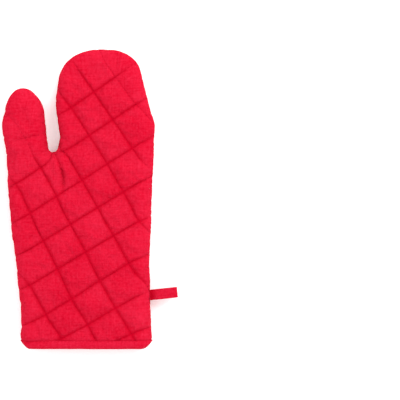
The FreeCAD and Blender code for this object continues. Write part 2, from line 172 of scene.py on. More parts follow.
def rounded_outline(corners, step):
    """The outline as points, closed, with each corner's arc sampled about every step."""
    points = []
    count = len(corners)
    for i, (x, y, radius) in enumerate(corners):
        here = np.array([x, y], float)
        if radius == 0:
            points.append(here)
            continue
        back = np.array(corners[i - 1][:2]) - here
        ahead = np.array(corners[(i + 1) % count][:2]) - here
        back /= np.linalg.norm(back)
        ahead /= np.linalg.norm(ahead)
        half = math.acos(np.clip(back @ ahead, -1, 1)) / 2
        middle = back + ahead
        centre = here + middle / np.linalg.norm(middle) * radius / math.sin(half)
        start = here + back * radius / math.tan(half) - centre
        end = here + ahead * radius / math.tan(half) - centre
        turn = math.atan2(start[0] * end[1] - start[1] * end[0], start @ end)
        parts = max(2, int(abs(turn) * radius / step))
        first = math.atan2(start[1], start[0])
        for part in range(parts + 1):
            angle = first + turn * part / parts
            points.append(centre + radius * np.array([math.cos(angle), math.sin(angle)]))
    return np.array(points)


def resampled(points, step):
    """The same open line with points evenly spaced, about a step apart."""
    lengths = np.r_[0, np.cumsum(np.linalg.norm(np.diff(points, axis=0), axis=1))]
    count = max(2, int(round(lengths[-1] / step)) + 1)
    places = np.linspace(0, lengths[-1], count)
    return np.stack([np.interp(places, lengths, points[:, k]) for k in range(points.shape[1])], 1)


EDGE = resampled(rounded_outline(OUTLINE, OUTLINE_ARC_STEP), OUTLINE_STEP)


def edge_distance(points):
    """Distance of each point from the sewn edge, and the unit direction from it to the edge."""
    starts, ends = EDGE[:-1], EDGE[1:]
    spans = ends - starts
    squares = (spans ** 2).sum(1)
    outwards = np.stack([spans[:, 1], -spans[:, 0]], 1) / np.sqrt(squares)[:, None]
    distances, directions = [], []
    for chunk in np.array_split(points, max(1, len(points) // CHUNK)):
        offset = chunk[:, None] - starts[None]
        share = np.clip((offset * spans).sum(2) / squares, 0, 1)
        nearest = starts + share[:, :, None] * spans
        gap = np.linalg.norm(nearest - chunk[:, None], axis=2)
        best = gap.argmin(1)
        rows = np.arange(len(chunk))
        distance = gap[rows, best]
        direction = (nearest[rows, best] - chunk) / np.maximum(distance, 1e-6)[:, None]
        close = distance < ON_EDGE
        direction[close] = outwards[best[close]]
        distances.append(distance)
        directions.append(direction)
    return np.concatenate(distances), np.concatenate(directions)


def field(points, scale, layer):
    """Smooth noise between about -1 and 1 at each point."""
    return np.array([noise.noise(Vector((x / scale, y / scale, layer))) * NOISE_GAIN
                     for x, y in points])


def uneven(points, rise, size, layer):
    """A surface's unevenness: its height, the size of its bumps and the layer of the noise."""
    return rise * field(points, size, layer)


# Places where the quilting strays from its even grid, and how far it is pulled there.
RISING_PULLS = [
    (-31, -138, 1.6), (-3, -127, 1.3), (24, -108, 3.2), (54, -93, 4.3), (31, -141, 10.0),
    (45, -134, 6.9), (59, -127, 6.8), (-45, -116, -4.0), (12, -81, 1.0), (37, -65, 2.6),
    (-66, -124, -3.0), (-20, -99, -1.8),
]
FALLING_PULLS = [
    (-46, -116, 10.4), (-58, -92, 9.0), (-28, -140, 15.0), (-27, -82, 1.9), (-20, -100, 0.6),
    (-2, -127, 3.3), (6, -142, 3.7), (10, -82, -2.2), (25, -109, -2.0), (40, -133, -0.3),
    (-62, -12, 4.6), (-42, 20, 3.4), (-66, 68, 5.0), (-48, -41, 3.6), (-34, -66, 3.2),
    (-73, 10, 8.0), (52, -19, -8.0), (40, -3, -3.5), (38, -64, -3.6), (24, -35, -1.8),
    (33, 11, -2.0),
]
PULL_REACH = 17.0
PULL_CALM = 0.25


def pulled(x, y, pulls):
    """How far the stitching is pulled at each point, blended from the places around it."""
    total = np.full(len(x), PULL_CALM)
    shift = np.zeros(len(x))
    for px, py, amount in pulls:
        weight = np.exp(-((x - px) ** 2 + (y - py) ** 2) / PULL_REACH ** 2)
        total += weight
        shift += weight * amount
    return shift / total


def rising_phase(points):
    """Counts the quilting lines that rise to the right, a whole number on each line."""
    x, y = points[:, 0], points[:, 1]
    thumb = smooth(y, *THUMB_TURN_UP) * smooth(-x, *THUMB_TURN_LEFT)
    level = (y - RISING_SLOPE * x) / (1 + RISING_SPREAD * x)
    level = level + thumb * THUMB_TURN * (x + THUMB_MIDDLE)
    level = level - pulled(x, y, RISING_PULLS)
    pitch = np.where(level > QUILT_A_START, QUILT_A_WIDE_PITCH, QUILT_A_PITCH)
    return (level - QUILT_A_START) / pitch


def falling_phase(points):
    """Counts the quilting lines that fall to the right."""
    x, y = points[:, 0], points[:, 1]
    across = (x + FALLING_SLOPE * y) / (1 - FALLING_SPREAD * y) - pulled(x, y, FALLING_PULLS)
    return (across - QUILT_B_START) / QUILT_B_PITCH


def back_rising_phase(points):
    x, y = points[:, 0], points[:, 1]
    return (BACK_LEAN[0] * x + BACK_LEAN[1] * y - BACK_RISING_START) / LINE_GAP


def back_falling_phase(points):
    x, y = points[:, 0], points[:, 1]
    return (-BACK_LEAN[1] * x + BACK_LEAN[0] * y - BACK_FALLING_START) / LINE_GAP


PHASES = {"front": (rising_phase, falling_phase), "back": (back_rising_phase, back_falling_phase)}
# How much of a line's strength is left at the rim, and where the lines fade on the front.
RIM_STRENGTH = 0.4
RIM_REACH = (2, 15)
THUMB_FADE = 0.75
THUMB_FADE_UP = (36, 54)
THUMB_FADE_LEFT = (40, 50)
TIP_FADE = 0.75
TIP_FADE_REACH = (140, 185)
CROTCH_FADE = 8.0
CROTCH_LOSS = 0.9
SUNK_LOSS = 0.85
# Lines that the stitching hardly reaches, by family and number, and how strong each one is.
FAINT = {"front": ({3: 0.0, 4: 0.0}, {3: 0.55, 4: 0.0}), "back": ({}, {})}
# Places on the front where one family's stitching sinks away: the family, x, y and how far.
SUNK_AWAY = [(1, -75, -79, 10.0), (1, -17, 142, 10.0), (1, 58, 33, 9.0), (0, 58, -94, 9.0)]


def line_field(side, points):
    """For both families of lines: distance to the nearest line and how strong that line is."""
    x, y = points[:, 0], points[:, 1]
    rim = RIM_STRENGTH + (1 - RIM_STRENGTH) * smooth(edge_distance(points)[0], *RIM_REACH)
    result = []
    for family, phase in enumerate(PHASES[side]):
        count = phase(points)
        number = np.round(count)
        strength = np.ones(len(points))
        for faint, share in FAINT[side][family].items():
            strength[number == faint] = share
        if side == "front":
            thumb = smooth(y, *THUMB_FADE_UP) * smooth(-x, *THUMB_FADE_LEFT)
            strength *= 1 - THUMB_FADE * thumb
            strength *= 1 - TIP_FADE * smooth(x + y, *TIP_FADE_REACH)
            gap = np.hypot(x - CROTCH[0], y - CROTCH[1])
            strength *= 1 - CROTCH_LOSS * np.exp(-(gap / CROTCH_FADE) ** 2)
            for faded, px, py, reach in SUNK_AWAY:
                if faded == family:
                    gap = np.hypot(x - px, y - py)
                    strength *= 1 - SUNK_LOSS * np.exp(-(gap / reach) ** 2)
        result.append((np.abs(count - number) * LINE_GAP, strength * rim))
    return result


# Creases of the front panel: points along each, its depth and its width.
CREASES = [
    ([(-35, 45.5), (-31.8, 38), (-28.8, 28.5), (-27.5, 23), (-27.8, 17), (-28.6, 8)], 3.4, 1.7),
    ([(-27, 45), (-20, 49.5), (-9, 57), (0, 63)], 1.3, 2.4),
    ([(-58, 47), (-50, 46), (-43, 44.5)], 0.7, 1.6),
    ([(-62, 33), (-55, 31.5), (-50, 33)], 0.9, 1.7),
    ([(-57, 43), (-54, 37), (-49, 32)], 0.7, 1.5),
    ([(-70, 57), (-63, 54), (-55, 53)], 0.5, 2.2),
    ([(-25, 37), (-14, 35), (-3, 37.5)], 0.6, 2.4),
    ([(-22, 44), (-12, 42.5), (0, 46)], 0.4, 2.2),
    ([(-27, 62), (-18, 62), (-10, 65)], 0.4, 2.2),
    ([(24, 44), (26, 33), (25, 22)], 0.6, 2.2),
    ([(34, 47), (35, 36), (38, 24)], 0.5, 2.4),
    ([(-52, 12), (-50, 2), (-53, -8)], 0.4, 2.4),
    ([(-33, 12), (-37, 0), (-36, -12)], 0.45, 2.2),
    ([(18, -98), (21, -108), (18, -118)], 0.45, 2.2),
    ([(30, -96), (34, -106), (31, -116)], 0.4, 2.4),
    ([(-12, -128), (-9, -135), (-12, -141)], 0.5, 2.0),
    ([(14, -124), (17, -133), (15, -141)], 0.45, 2.2),
    ([(-55, -66), (-47, -69), (-38, -68)], 0.35, 2.4),
    ([(42, -62), (45, -72), (43, -84)], 0.4, 2.2),
]


# The low ridge beside a crease: its height, how far off it is and how wide, in crease widths.
CREASE_RIDGE = 0.35
CREASE_RIDGE_GAP = 2.4
CREASE_RIDGE_WIDTH = 1.5


def crease_depth(points, line, width):
    """1 on a crease, falling to 0 beside it and towards its ends, with a low ridge alongside."""
    path = resampled(np.array(line, float), 1.0)
    offset = np.linalg.norm(points[:, None] - path[None], axis=2)
    nearest = offset.argmin(1)
    gap = offset.min(1)
    along = nearest / (len(path) - 1)
    fade = np.sqrt(np.clip(np.sin(np.pi * np.clip(along, 0.02, 0.98)), 0, 1))
    valley = np.exp(-(gap / width) ** 2)
    ridge = np.exp(-((gap - CREASE_RIDGE_GAP * width) / (CREASE_RIDGE_WIDTH * width)) ** 2)
    return fade * (valley - CREASE_RIDGE * ridge)


def relief(side, points):
    """How far the cloth stands out of the plain padded shape, and the painted shade of its valleys.
    """
    families = zip(line_field(side, points), FAMILY_TURNS, FAMILY_LAYERS)
    stitched = smooth(points[:, 1], BAND_Y - 1, BAND_Y + 3)
    height = np.zeros(len(points))
    valleys = np.ones(len(points))
    arches = np.ones(len(points))
    for (gap, strong), turn, layer in families:
        wobble = 1 + 0.25 * field(points, 9, layer)
        groove = GROOVE_SHARE * np.exp(-(gap / (GROOVE_WIDTH * wobble)) ** 2)
        groove = groove + SLOPE_SHARE * np.exp(-gap / SLOPE_WIDTH)
        valleys *= 1 - strong * groove
        arches *= 1 - strong * (1 - np.clip(gap / (LINE_GAP / 2), 0, 1)) ** 2
        along = points[:, 0] * math.cos(turn) + points[:, 1] * math.sin(turn)
        turns = along * 2 * math.pi / PUCKER_LENGTH
        pucker = np.sin(turns + 2.4 * field(points, 11, layer + 1))
        patchy = 1 + field(points, 17, layer + 2)
        height += PUCKER * strong * pucker * np.exp(-gap / PUCKER_REACH) * patchy
    sunk_shade = 1 - valleys
    height += PILLOW * (arches - 0.5) - VALLEY * sunk_shade
    height += uneven(points, *BROAD) + uneven(points, *FINE)
    bound = np.exp(-((points[:, 1] - BAND_Y - BOUND_EDGE) / BOUND_WIDTH) ** 2)
    height = height * stitched - BOUND_FLAT * (1 - stitched) - BOUND_DEPTH * bound
    # The second value is painted shade: deeper in the stitched valleys, and along the pressed
    # groove at the binding's upper edge.
    return height, np.maximum(sunk_shade * stitched, BOUND_DEPTH * bound)


def section(side, points, stand, close=0.0, thick=0.0):
    """Points of a panel's plain padded shape, moved outwards by stand.

    close and thick say how far inside the outer shape it lies, at the seam and on top.
    """
    distance, outward = edge_distance(points)
    sign = 1 if side == "front" else -1
    radius = FRONT_ROUND if side == "front" else BACK_ROUND
    rise = np.full(len(points), SEAM_Z)
    if side == "front":
        rise = CUFF_TOP + TOP_SLOPE * (points[:, 1] - CUFF_Y) - SEAM_Z
        crown = CROWN * (1 - np.exp(-distance / CROWN_REACH)) - CROWN_SINK
        rise = rise + crown * smooth(distance, 0, CROWN_START)
    angle = np.clip(distance / radius, 0, 1) * math.pi / 2
    inset = np.where(distance < radius, close + (radius - close) * (1 - np.cos(angle)), distance)
    height = np.maximum(rise - thick, LEAST_HEIGHT) * np.sin(angle) + stand * np.sin(angle)
    inset = inset - stand * np.cos(angle)
    spot = points + outward * (distance - inset)[:, None]
    return np.column_stack([spot, SEAM_Z + sign * height]), distance, angle


def cover_shape(side, points):
    """The outside of a panel before the cloth is puffed up, and the painted shade of its valleys.
    """
    distance, outward = edge_distance(points)
    stand, sunk_shade = relief(side, points)
    stand = stand * smooth(distance, 0, TUCK_REACH)
    shape, _, angle = section(side, points, stand)
    tuck = TUCK * np.exp(-(angle / TUCK_ANGLE) ** 2)
    shape[:, :2] -= outward * tuck[:, None]
    return shape, sunk_shade


# ---------------------------------------------------------------- the pattern's mesh


# Following a line: the reach and step along it, and Newton's steps, nudge and limit at each place.
PATTERN_REACH = 175.0
FOLLOW_STEP = 1.5
NEWTON_STEPS = 12
NUDGE = 0.1
FARTHEST = 400
# A quilting line stops this far from the pattern's edge and above the bound mouth.
RIM_CLEARANCE = 1.0
BAND_CLEARANCE = 2.5
LINE_NUMBERS = range(-6, 7)


def iso_line(side, family, number):
    """The points of one quilting line across the whole pattern, before it is trimmed."""
    phase = PHASES[side][family]
    steep = family == 1
    line = []
    for main in np.arange(-PATTERN_REACH, PATTERN_REACH + 1, FOLLOW_STEP):
        guess = 0.0
        for _ in range(NEWTON_STEPS):
            spots = np.array([[main, guess], [main, guess + NUDGE]])
            if steep:
                spots = spots[:, ::-1]
            now, ahead = phase(spots)
            slope = (ahead - now) / NUDGE
            guess = float(np.clip(guess - (now - number) / slope, -FARTHEST, FARTHEST))
        line.append((guess, main) if steep else (main, guess))
    return np.array(line)


def kept_runs(line, keep):
    """The stretches of a line whose points are all kept, without those of one or two points."""
    runs, run = [], []
    for point, good in zip(line, keep):
        if good:
            run.append(point)
        elif run:
            runs.append(np.array(run))
            run = []
    runs.append(np.array(run))
    return [run for run in runs if len(run) > 2]


def trimmed(line):
    """The stretches of a line inside the pattern, clear of its edge and of the bound mouth."""
    distance, _ = edge_distance(line)
    above_band = line[:, 1] > BAND_Y + BAND_CLEARANCE
    return kept_runs(line, inside_polygon(line, EDGE) & (distance > RIM_CLEARANCE) & above_band)


def quilting_lines(side):
    """Every quilting line of a panel as (family, points)."""
    lines = []
    for family in (0, 1):
        for number in LINE_NUMBERS:
            if FAINT[side][family].get(number, 1) == 0:
                continue
            for run in trimmed(iso_line(side, family, number)):
                lines.append((family, run))
    return lines


# How far the mouth's edge is drawn up at each side seam, how far in that shows, and its power.
LEFT_LIFT = (7.6, 8.5, 2.0)
RIGHT_LIFT = (7.4, 17.0, 4.6)
BINDING_WIDTH = 9.5
MOUTH_INSET = 1.5
PANEL_INSET = 1.7
MOUTH_POINTS = 90
# The height above the cuff up to which a side seam counts as beside the mouth.
CUFF_REACH = 60


def seam_x(y):
    """Where the left and right side seams lie at a height near the cuff."""
    cuff = EDGE[EDGE[:, 1] < CUFF_Y + CUFF_REACH]
    sides = []
    for side in (cuff[cuff[:, 0] < 0], cuff[cuff[:, 0] > 0]):
        order = side[:, 1].argsort()
        sides.append(np.interp(y, side[order, 1], side[order, 0]))
    return sides


def mouth_lift(x, height=0):
    """How far the mouth's edge is drawn up at places across it, less and less with height."""
    left, right = seam_x(CUFF_Y + height)
    lift = np.zeros(len(x))
    for (rise, reach, power), gap in ((LEFT_LIFT, x - left), (RIGHT_LIFT, right - x)):
        turn = np.clip(gap / FRONT_ROUND, 0, 1) * math.pi / 2
        shown = np.where(gap < FRONT_ROUND, FRONT_ROUND * (1 - np.cos(turn)), gap)
        lift += rise * np.clip(1 - shown / reach, 0, 1) ** power
    return lift * np.clip(1 - height / BINDING_WIDTH, 0, 1)


def pattern_border():
    """The panel's border: up the right, round the fingers and thumb, down and along the cuff."""
    end_y = CUFF_Y + MOUTH_INSET + PANEL_INSET
    left, right = seam_x(end_y)
    lift = mouth_lift(np.array([left, right]))
    above = EDGE[EDGE[:, 1] > CUFF_Y]
    keep = np.where(above[:, 0] < 0, end_y + lift[0], end_y + lift[1]) < above[:, 1]
    sewn = resampled(above[keep], EDGE_STEP)
    across = np.linspace(sewn[-1][0], sewn[0][0], MOUTH_POINTS)[1:-1]
    open_edge = np.column_stack([across, end_y + mouth_lift(across)])
    return sewn, open_edge


SEWN, OPEN_EDGE = pattern_border()


# The thumb's border stays this far inside the edge, and the fold line is followed this far.
SPLIT_INSET = 0.8
SPLIT_REACH = 70


def thumb_border(side):
    """Where a panel's thumb piece ends: from the left seam to the bottom of the crotch.

    On the front it is the stitched valley below the crotch, on the back the fold line itself.
    """
    crotch = SEWN[np.linalg.norm(SEWN - CROTCH, axis=1).argmin()]
    if side == "front":
        line = iso_line(side, 0, 1)
        line = line[line[:, 0] < CROTCH[0] - SPLIT_INSET]
    else:
        far = CROTCH - FOLD_ALONG * SPLIT_REACH
        line = resampled(np.array([far, CROTCH]), FOLLOW_STEP)[:-1]
    line = line[inside_polygon(line, EDGE)]
    line = line[edge_distance(line)[0] > SPLIT_INSET]
    left = SEWN[np.linalg.norm(SEWN - line[0], axis=1).argmin()]
    start = np.array([left])
    return np.vstack([start, line, [crotch]])


# Spacing of the mesh's points: along lines, in rings inside the edge, and clear of each other.
LINE_SPACING = 1.6
RING_INSETS = (1.0, 2.2, 3.8, 5.6)
RING_SHARE = 0.96
GRID_INSET = 6.9
MOUTH_CLEARANCE = 1.2
POINT_GAP = 0.85
SPLIT_GAP = 1.6
# The grid of loose points: its left and right end, and how far it goes past the fingertips.
GRID_SPAN = (-95, 75)
GRID_MARGIN = 5
# Corners well outside the mitt, to close the thumb's region.
ABOVE_THUMB = 130
LEFT_OF_THUMB = -110


def pattern_mesh(side):
    """Points and triangles of a panel's flat pattern, with edges along every quilting line."""
    border = np.vstack([SEWN, OPEN_EDGE])
    count = len(border)
    points = [tuple(p) for p in border]
    edges = [(i, (i + 1) % count) for i in range(count)]
    split = thumb_border(side)
    lines = [line for _, line in quilting_lines(side)]
    if side == "front":
        lines = [line[~on_split(line, split)] for line in lines]
    lines = [resampled(line, LINE_SPACING) for line in lines if len(line) > 2]
    lines.append(split)
    for line in lines:
        first = len(points)
        points.extend(tuple(p) for p in line)
        edges.extend((first + i, first + i + 1) for i in range(len(line) - 1))
    fixed = np.array(points)
    loose = []
    for inset in RING_INSETS:
        _, outward = edge_distance(SEWN)
        ring = SEWN - outward * inset
        loose.append(ring[edge_distance(ring)[0] > inset * RING_SHARE])
    rows = np.arange(CUFF_Y, FINGERS_HIGH[1] + GRID_MARGIN, GRID_STEP * math.sqrt(0.75))
    columns = np.arange(*GRID_SPAN, GRID_STEP)
    grid = np.array([(x + (GRID_STEP / 2 if k % 2 else 0), y)
                     for k, y in enumerate(rows) for x in columns])
    grid = grid[inside_polygon(grid, EDGE)]
    grid = grid[edge_distance(grid)[0] > GRID_INSET]
    loose.append(grid)
    loose = np.vstack(loose)
    above_mouth = CUFF_Y + MOUTH_INSET + PANEL_INSET + MOUTH_CLEARANCE
    loose = loose[loose[:, 1] > above_mouth + mouth_lift(loose[:, 0])]
    gap = np.full(len(loose), np.inf)
    for chunk in np.array_split(fixed, 12):
        gap = np.minimum(gap, np.linalg.norm(loose[:, None] - chunk[None], axis=2).min(1))
    points.extend(tuple(p) for p in loose[gap > POINT_GAP])
    result = geometry.delaunay_2d_cdt(
        [Vector(p) for p in points], edges, [list(range(count))], 1, 1e-4)
    flat = np.array([tuple(p) for p in result[0]])
    triangles = np.array([face for face in result[2] if len(face) == 3])
    corner = flat[triangles]
    area = np.cross(corner[:, 1] - corner[:, 0], corner[:, 2] - corner[:, 0])
    triangles[area < 0] = triangles[area < 0][:, ::-1]
    middle = flat[triangles].mean(1)
    inside = inside_polygon(middle, border)
    triangles = triangles[inside]
    middle = middle[inside]
    on_thumb = inside_polygon(middle, thumb_polygon(split))
    return flat, triangles, on_thumb


def on_split(line, split):
    return np.linalg.norm(line[:, None] - split[None], axis=2).min(1) < SPLIT_GAP


def thumb_polygon(split):
    """The closed region that holds the thumb's piece: its border and a way round the outside."""
    crotch = split[-1]
    outside = [(crotch[0], ABOVE_THUMB), (LEFT_OF_THUMB, ABOVE_THUMB), (LEFT_OF_THUMB, split[0][1])]
    return np.vstack([split, outside])


def inside_polygon(points, polygon):
    closed = np.vstack([polygon, polygon[:1]])
    x, y = points[:, 0][:, None], points[:, 1][:, None]
    ax, ay = closed[:-1, 0], closed[:-1, 1]
    bx, by = closed[1:, 0], closed[1:, 1]
    straddles = (ay > y) != (by > y)
    crossing = ax + (y - ay) / np.where(by == ay, 1e-9, by - ay) * (bx - ax)
    return (straddles & (x < crossing)).sum(1) % 2 == 1


# ---------------------------------------------------------------- materials

RED = (0.585, 0.0008, 0.022, 1)
DEEP_RED = (0.455, 0.0001, 0.012, 1)
LIGHT_RED = (0.67, 0.025, 0.066, 1)
THREAD_RED = (0.43, 0.0005, 0.022, 1)
TACK_RED = (0.27, 0.0005, 0.012, 1)
LINING_WHITE = (0.78, 0.75, 0.70, 1)
LINING_SHADE = (0.62, 0.58, 0.52, 1)
LINING_LIGHT = (0.86, 0.84, 0.80, 1)
OVERLOCK_WHITE = (0.82, 0.80, 0.76, 1)
# The cloth's noises in its own millimetres: how they sway, and the sizes of grain and patches.
SWAY_SCALE = 0.16
SWAY = 1.6
WARP_STRETCH = (0.85, 0.07, 1)
WEFT_STRETCH = (0.06, 0.80, 1)
GRAIN_SCALE = 0.42
PATCH_SCALE = 0.022
# How much each noise counts towards the cloth's tone.
SLUB_WEIGHT = 0.75
GRAIN_WEIGHT = 0.55
PATCH_WEIGHT = 0.35
# How far the tone spreads, with and without slubs, and how it lies about its middle.
SLUB_SPREAD = 0.19
PLAIN_SPREAD = 0.05
TONE_BELOW = 0.8
TONE_ABOVE = 1.2
# Painted shade darkens the cloth in a valley from this depth on.
VALLEY_SHADE_START = 0.25
# How much of the plain colour is mixed in, and how dark the gaps between threads are.
PLAIN_SHARE = 0.3
GAP_SHARE = 0.12
# The relief of threads, slubs and grain: height in metres and strength.
THREAD_BUMP = (0.00018, 0.7)
SLUB_BUMP = (0.0011, 0.55)
GRAIN_BUMP = (0.0007, 0.4)
CLOTH_ROUGHNESS = 0.95
CLOTH_SPECULAR = 0.03
SHEEN_ROUGHNESS = 0.45
THREAD_SLANT = 9.0
THREAD_PLY = 0.8
PLY_BUMP = (0.00012, 0.6)
THREAD_ROUGHNESS = 0.8
THREAD_SPECULAR = 0.05


class Nodes:
    """Short calls for building one material's node tree."""

    def __init__(self, name):
        self.material = bpy.data.materials.new(name)
        self.material.use_nodes = True
        self.tree = self.material.node_tree
        self.shader = self.tree.nodes["Principled BSDF"]

    def link(self, value, socket):
        if isinstance(value, bpy.types.NodeSocket):
            self.tree.links.new(value, socket)
        elif value is not None:
            socket.default_value = value

    def math(self, operation, a, b=None, clamp=False):
        node = self.tree.nodes.new("ShaderNodeMath")
        node.operation = operation
        node.use_clamp = clamp
        self.link(a, node.inputs[0])
        self.link(b, node.inputs[1])
        return node.outputs[0]

    def noise(self, vector, scale, detail=2.0, roughness=0.5):
        node = self.tree.nodes.new("ShaderNodeTexNoise")
        self.link(vector, node.inputs["Vector"])
        node.inputs["Scale"].default_value = scale
        node.inputs["Detail"].default_value = detail
        node.inputs["Roughness"].default_value = roughness
        return node.outputs["Fac"]

    def stretched(self, vector, scale, turn=0.0):
        node = self.tree.nodes.new("ShaderNodeMapping")
        self.link(vector, node.inputs["Vector"])
        node.inputs["Scale"].default_value = scale
        node.inputs["Rotation"].default_value = (0, 0, turn)
        return node.outputs["Vector"]

    def mix(self, share, a, b):
        node = self.tree.nodes.new("ShaderNodeMix")
        node.data_type = "RGBA"
        self.link(share, node.inputs[0])
        self.link(a, node.inputs[6])
        self.link(b, node.inputs[7])
        return node.outputs[2]

    def ramp(self, value, low, high):
        node = self.tree.nodes.new("ShaderNodeMapRange")
        self.link(value, node.inputs["Value"])
        node.inputs["From Min"].default_value = low
        node.inputs["From Max"].default_value = high
        return node.outputs["Result"]

    def bump(self, height, distance, strength, before=None):
        node = self.tree.nodes.new("ShaderNodeBump")
        self.link(height, node.inputs["Height"])
        node.inputs["Distance"].default_value = distance
        node.inputs["Strength"].default_value = strength
        self.link(before, node.inputs["Normal"])
        return node.outputs["Normal"]

    def cloth_place(self):
        """The cloth's own coordinates, and the same split into across and along."""
        cloth = self.tree.nodes.new("ShaderNodeUVMap")
        cloth.uv_map = "cloth"
        split = self.tree.nodes.new("ShaderNodeSeparateXYZ")
        self.link(cloth.outputs["UV"], split.inputs[0])
        return cloth.outputs["UV"], split.outputs

    def finish(self, colour, normal, roughness, specular, sheen, tint):
        self.link(colour, self.shader.inputs["Base Color"])
        self.link(normal, self.shader.inputs["Normal"])
        self.shader.inputs["Roughness"].default_value = roughness
        self.shader.inputs["Specular IOR Level"].default_value = specular
        self.shader.inputs["Sheen Weight"].default_value = sheen
        self.shader.inputs["Sheen Roughness"].default_value = SHEEN_ROUGHNESS
        self.shader.inputs["Sheen Tint"].default_value = tint
        return self.material


def woven(name, base, deep, light, thread=0.8, valley=1.0, sheen=0.03, slub=1.0):
    """Plain woven cotton in the cloth's own millimetres, with uneven threads and slubs."""
    nodes = Nodes(name)
    uv, split = nodes.cloth_place()
    sway = nodes.noise(uv, SWAY_SCALE, 3)
    turn = math.pi / thread
    waves = []
    for axis in (0, 1):
        place = nodes.math("ADD", split[axis], nodes.math("MULTIPLY", sway, SWAY))
        waves.append(nodes.math("SINE", nodes.math("MULTIPLY", place, turn)))
    over = nodes.math("GREATER_THAN", nodes.math("MULTIPLY", *waves), 0)
    under = nodes.math("SUBTRACT", 1, over)
    crowns = [nodes.math("ABSOLUTE", wave) for wave in waves]
    weave = nodes.math("ADD", nodes.math("MULTIPLY", crowns[0], over),
                       nodes.math("MULTIPLY", crowns[1], under))
    warp = nodes.noise(nodes.stretched(uv, WARP_STRETCH), 1.0, 3, 0.6)
    weft = nodes.noise(nodes.stretched(uv, WEFT_STRETCH), 1.0, 3, 0.6)
    slubs = nodes.math("ADD", nodes.math("MULTIPLY", warp, 0.5), nodes.math("MULTIPLY", weft, 0.5))
    grain = nodes.noise(uv, GRAIN_SCALE, 3, 0.65)
    patch = nodes.noise(uv, PATCH_SCALE, 2)
    tone = nodes.math("ADD", nodes.math("MULTIPLY", slubs, SLUB_WEIGHT * slub),
                      nodes.math("ADD", nodes.math("MULTIPLY", grain, GRAIN_WEIGHT * slub),
                                 nodes.math("MULTIPLY", patch, PATCH_WEIGHT)))
    middle = 0.5 * ((SLUB_WEIGHT + GRAIN_WEIGHT) * slub + PATCH_WEIGHT)
    spread = SLUB_SPREAD * slub + PLAIN_SPREAD
    tone = nodes.ramp(tone, middle - TONE_BELOW * spread, middle + TONE_ABOVE * spread)
    colour = nodes.mix(tone, deep, light)
    colour = nodes.mix(PLAIN_SHARE, colour, base)
    gaps = nodes.math("MULTIPLY", nodes.math("SUBTRACT", 1, weave), GAP_SHARE)
    colour = nodes.mix(gaps, colour, deep)
    # Painted shade: where the mesh's valley attribute is high, the cloth is mixed towards its deep
    # colour.
    if valley:
        depth = nodes.tree.nodes.new("ShaderNodeAttribute")
        depth.attribute_name = "valley"
        painted_shade = nodes.ramp(depth.outputs["Fac"], VALLEY_SHADE_START, 1.0)
        colour = nodes.mix(nodes.math("MULTIPLY", painted_shade, valley), colour, deep)
    normal = nodes.bump(weave, *THREAD_BUMP)
    normal = nodes.bump(slubs, *SLUB_BUMP, normal)
    normal = nodes.bump(grain, *GRAIN_BUMP, normal)
    return nodes.finish(colour, normal, CLOTH_ROUGHNESS, CLOTH_SPECULAR, sheen, light)


def twisted_thread(name, colour, deep):
    """Sewing thread: fine slanting plies, without a shine."""
    nodes = Nodes(name)
    _, split = nodes.cloth_place()
    slant = nodes.math("ADD", nodes.math("MULTIPLY", split[0], THREAD_SLANT),
                       nodes.math("MULTIPLY", split[1], 2 * math.pi))
    ply = nodes.math("ABSOLUTE", nodes.math("SINE", slant))
    shade = nodes.mix(nodes.math("MULTIPLY", ply, THREAD_PLY), deep, colour)
    normal = nodes.bump(ply, *PLY_BUMP)
    return nodes.finish(shade, normal, THREAD_ROUGHNESS, THREAD_SPECULAR, 0.0, colour)


COVER_CLOTH = woven("red_cotton", RED, DEEP_RED, LIGHT_RED)
BINDING_CLOTH = woven("red_binding_cotton", RED, DEEP_RED, LIGHT_RED, valley=0.8)
TAPE_CLOTH = woven("red_tape", RED, DEEP_RED, LIGHT_RED, thread=0.6, valley=0.9, slub=0.8)
LINING_CLOTH = woven("natural_lining", LINING_WHITE, LINING_SHADE, LINING_LIGHT, valley=0, slub=0.7)
SEWING_THREAD = twisted_thread("red_thread", THREAD_RED, DEEP_RED)
TACK_THREAD = twisted_thread("dark_red_thread", TACK_RED, TACK_RED)
OVERLOCK_THREAD = twisted_thread("white_thread", OVERLOCK_WHITE, LINING_SHADE)

# ---------------------------------------------------------------- meshes


def make_piece(name, vertices, faces, uv, material, sunk_shade=None):
    """A mesh object from points in millimetres, with the cloth's own coordinates as its UV map."""
    mesh = bpy.data.meshes.new(name)
    mesh.from_pydata((np.asarray(vertices) * MM).tolist(), [], [list(map(int, f)) for f in faces])
    mesh.polygons.foreach_set("use_smooth", [True] * len(mesh.polygons))
    layer = mesh.uv_layers.new(name="cloth")
    corners = np.empty(len(mesh.loops), int)
    mesh.loops.foreach_get("vertex_index", corners)
    layer.data.foreach_set("uv", np.asarray(uv, float)[corners].ravel())
    # An optional point attribute carries painted shade for the cloth's material.
    if sunk_shade is not None:
        attribute = mesh.attributes.new("valley", "FLOAT", "POINT")
        attribute.data.foreach_set("value", np.asarray(sunk_shade, np.float32))
    mesh.materials.append(material)
    mesh.update()
    piece = bpy.data.objects.new(name, mesh)
    bpy.context.scene.collection.objects.link(piece)
    return piece


# Where the inner side, the binding and the tape lie on the cloth, apart from the panels.
INNER_PLACE = 400
BINDING_PLACE = 600
TAPE_PLACE = 800


def vertex_normals(points, triangles):
    corner = points[triangles]
    face = np.cross(corner[:, 1] - corner[:, 0], corner[:, 2] - corner[:, 0])
    normals = np.zeros_like(points)
    for k in range(3):
        np.add.at(normals, triangles[:, k], face)
    return normals / np.maximum(np.linalg.norm(normals, axis=1), 1e-9)[:, None]


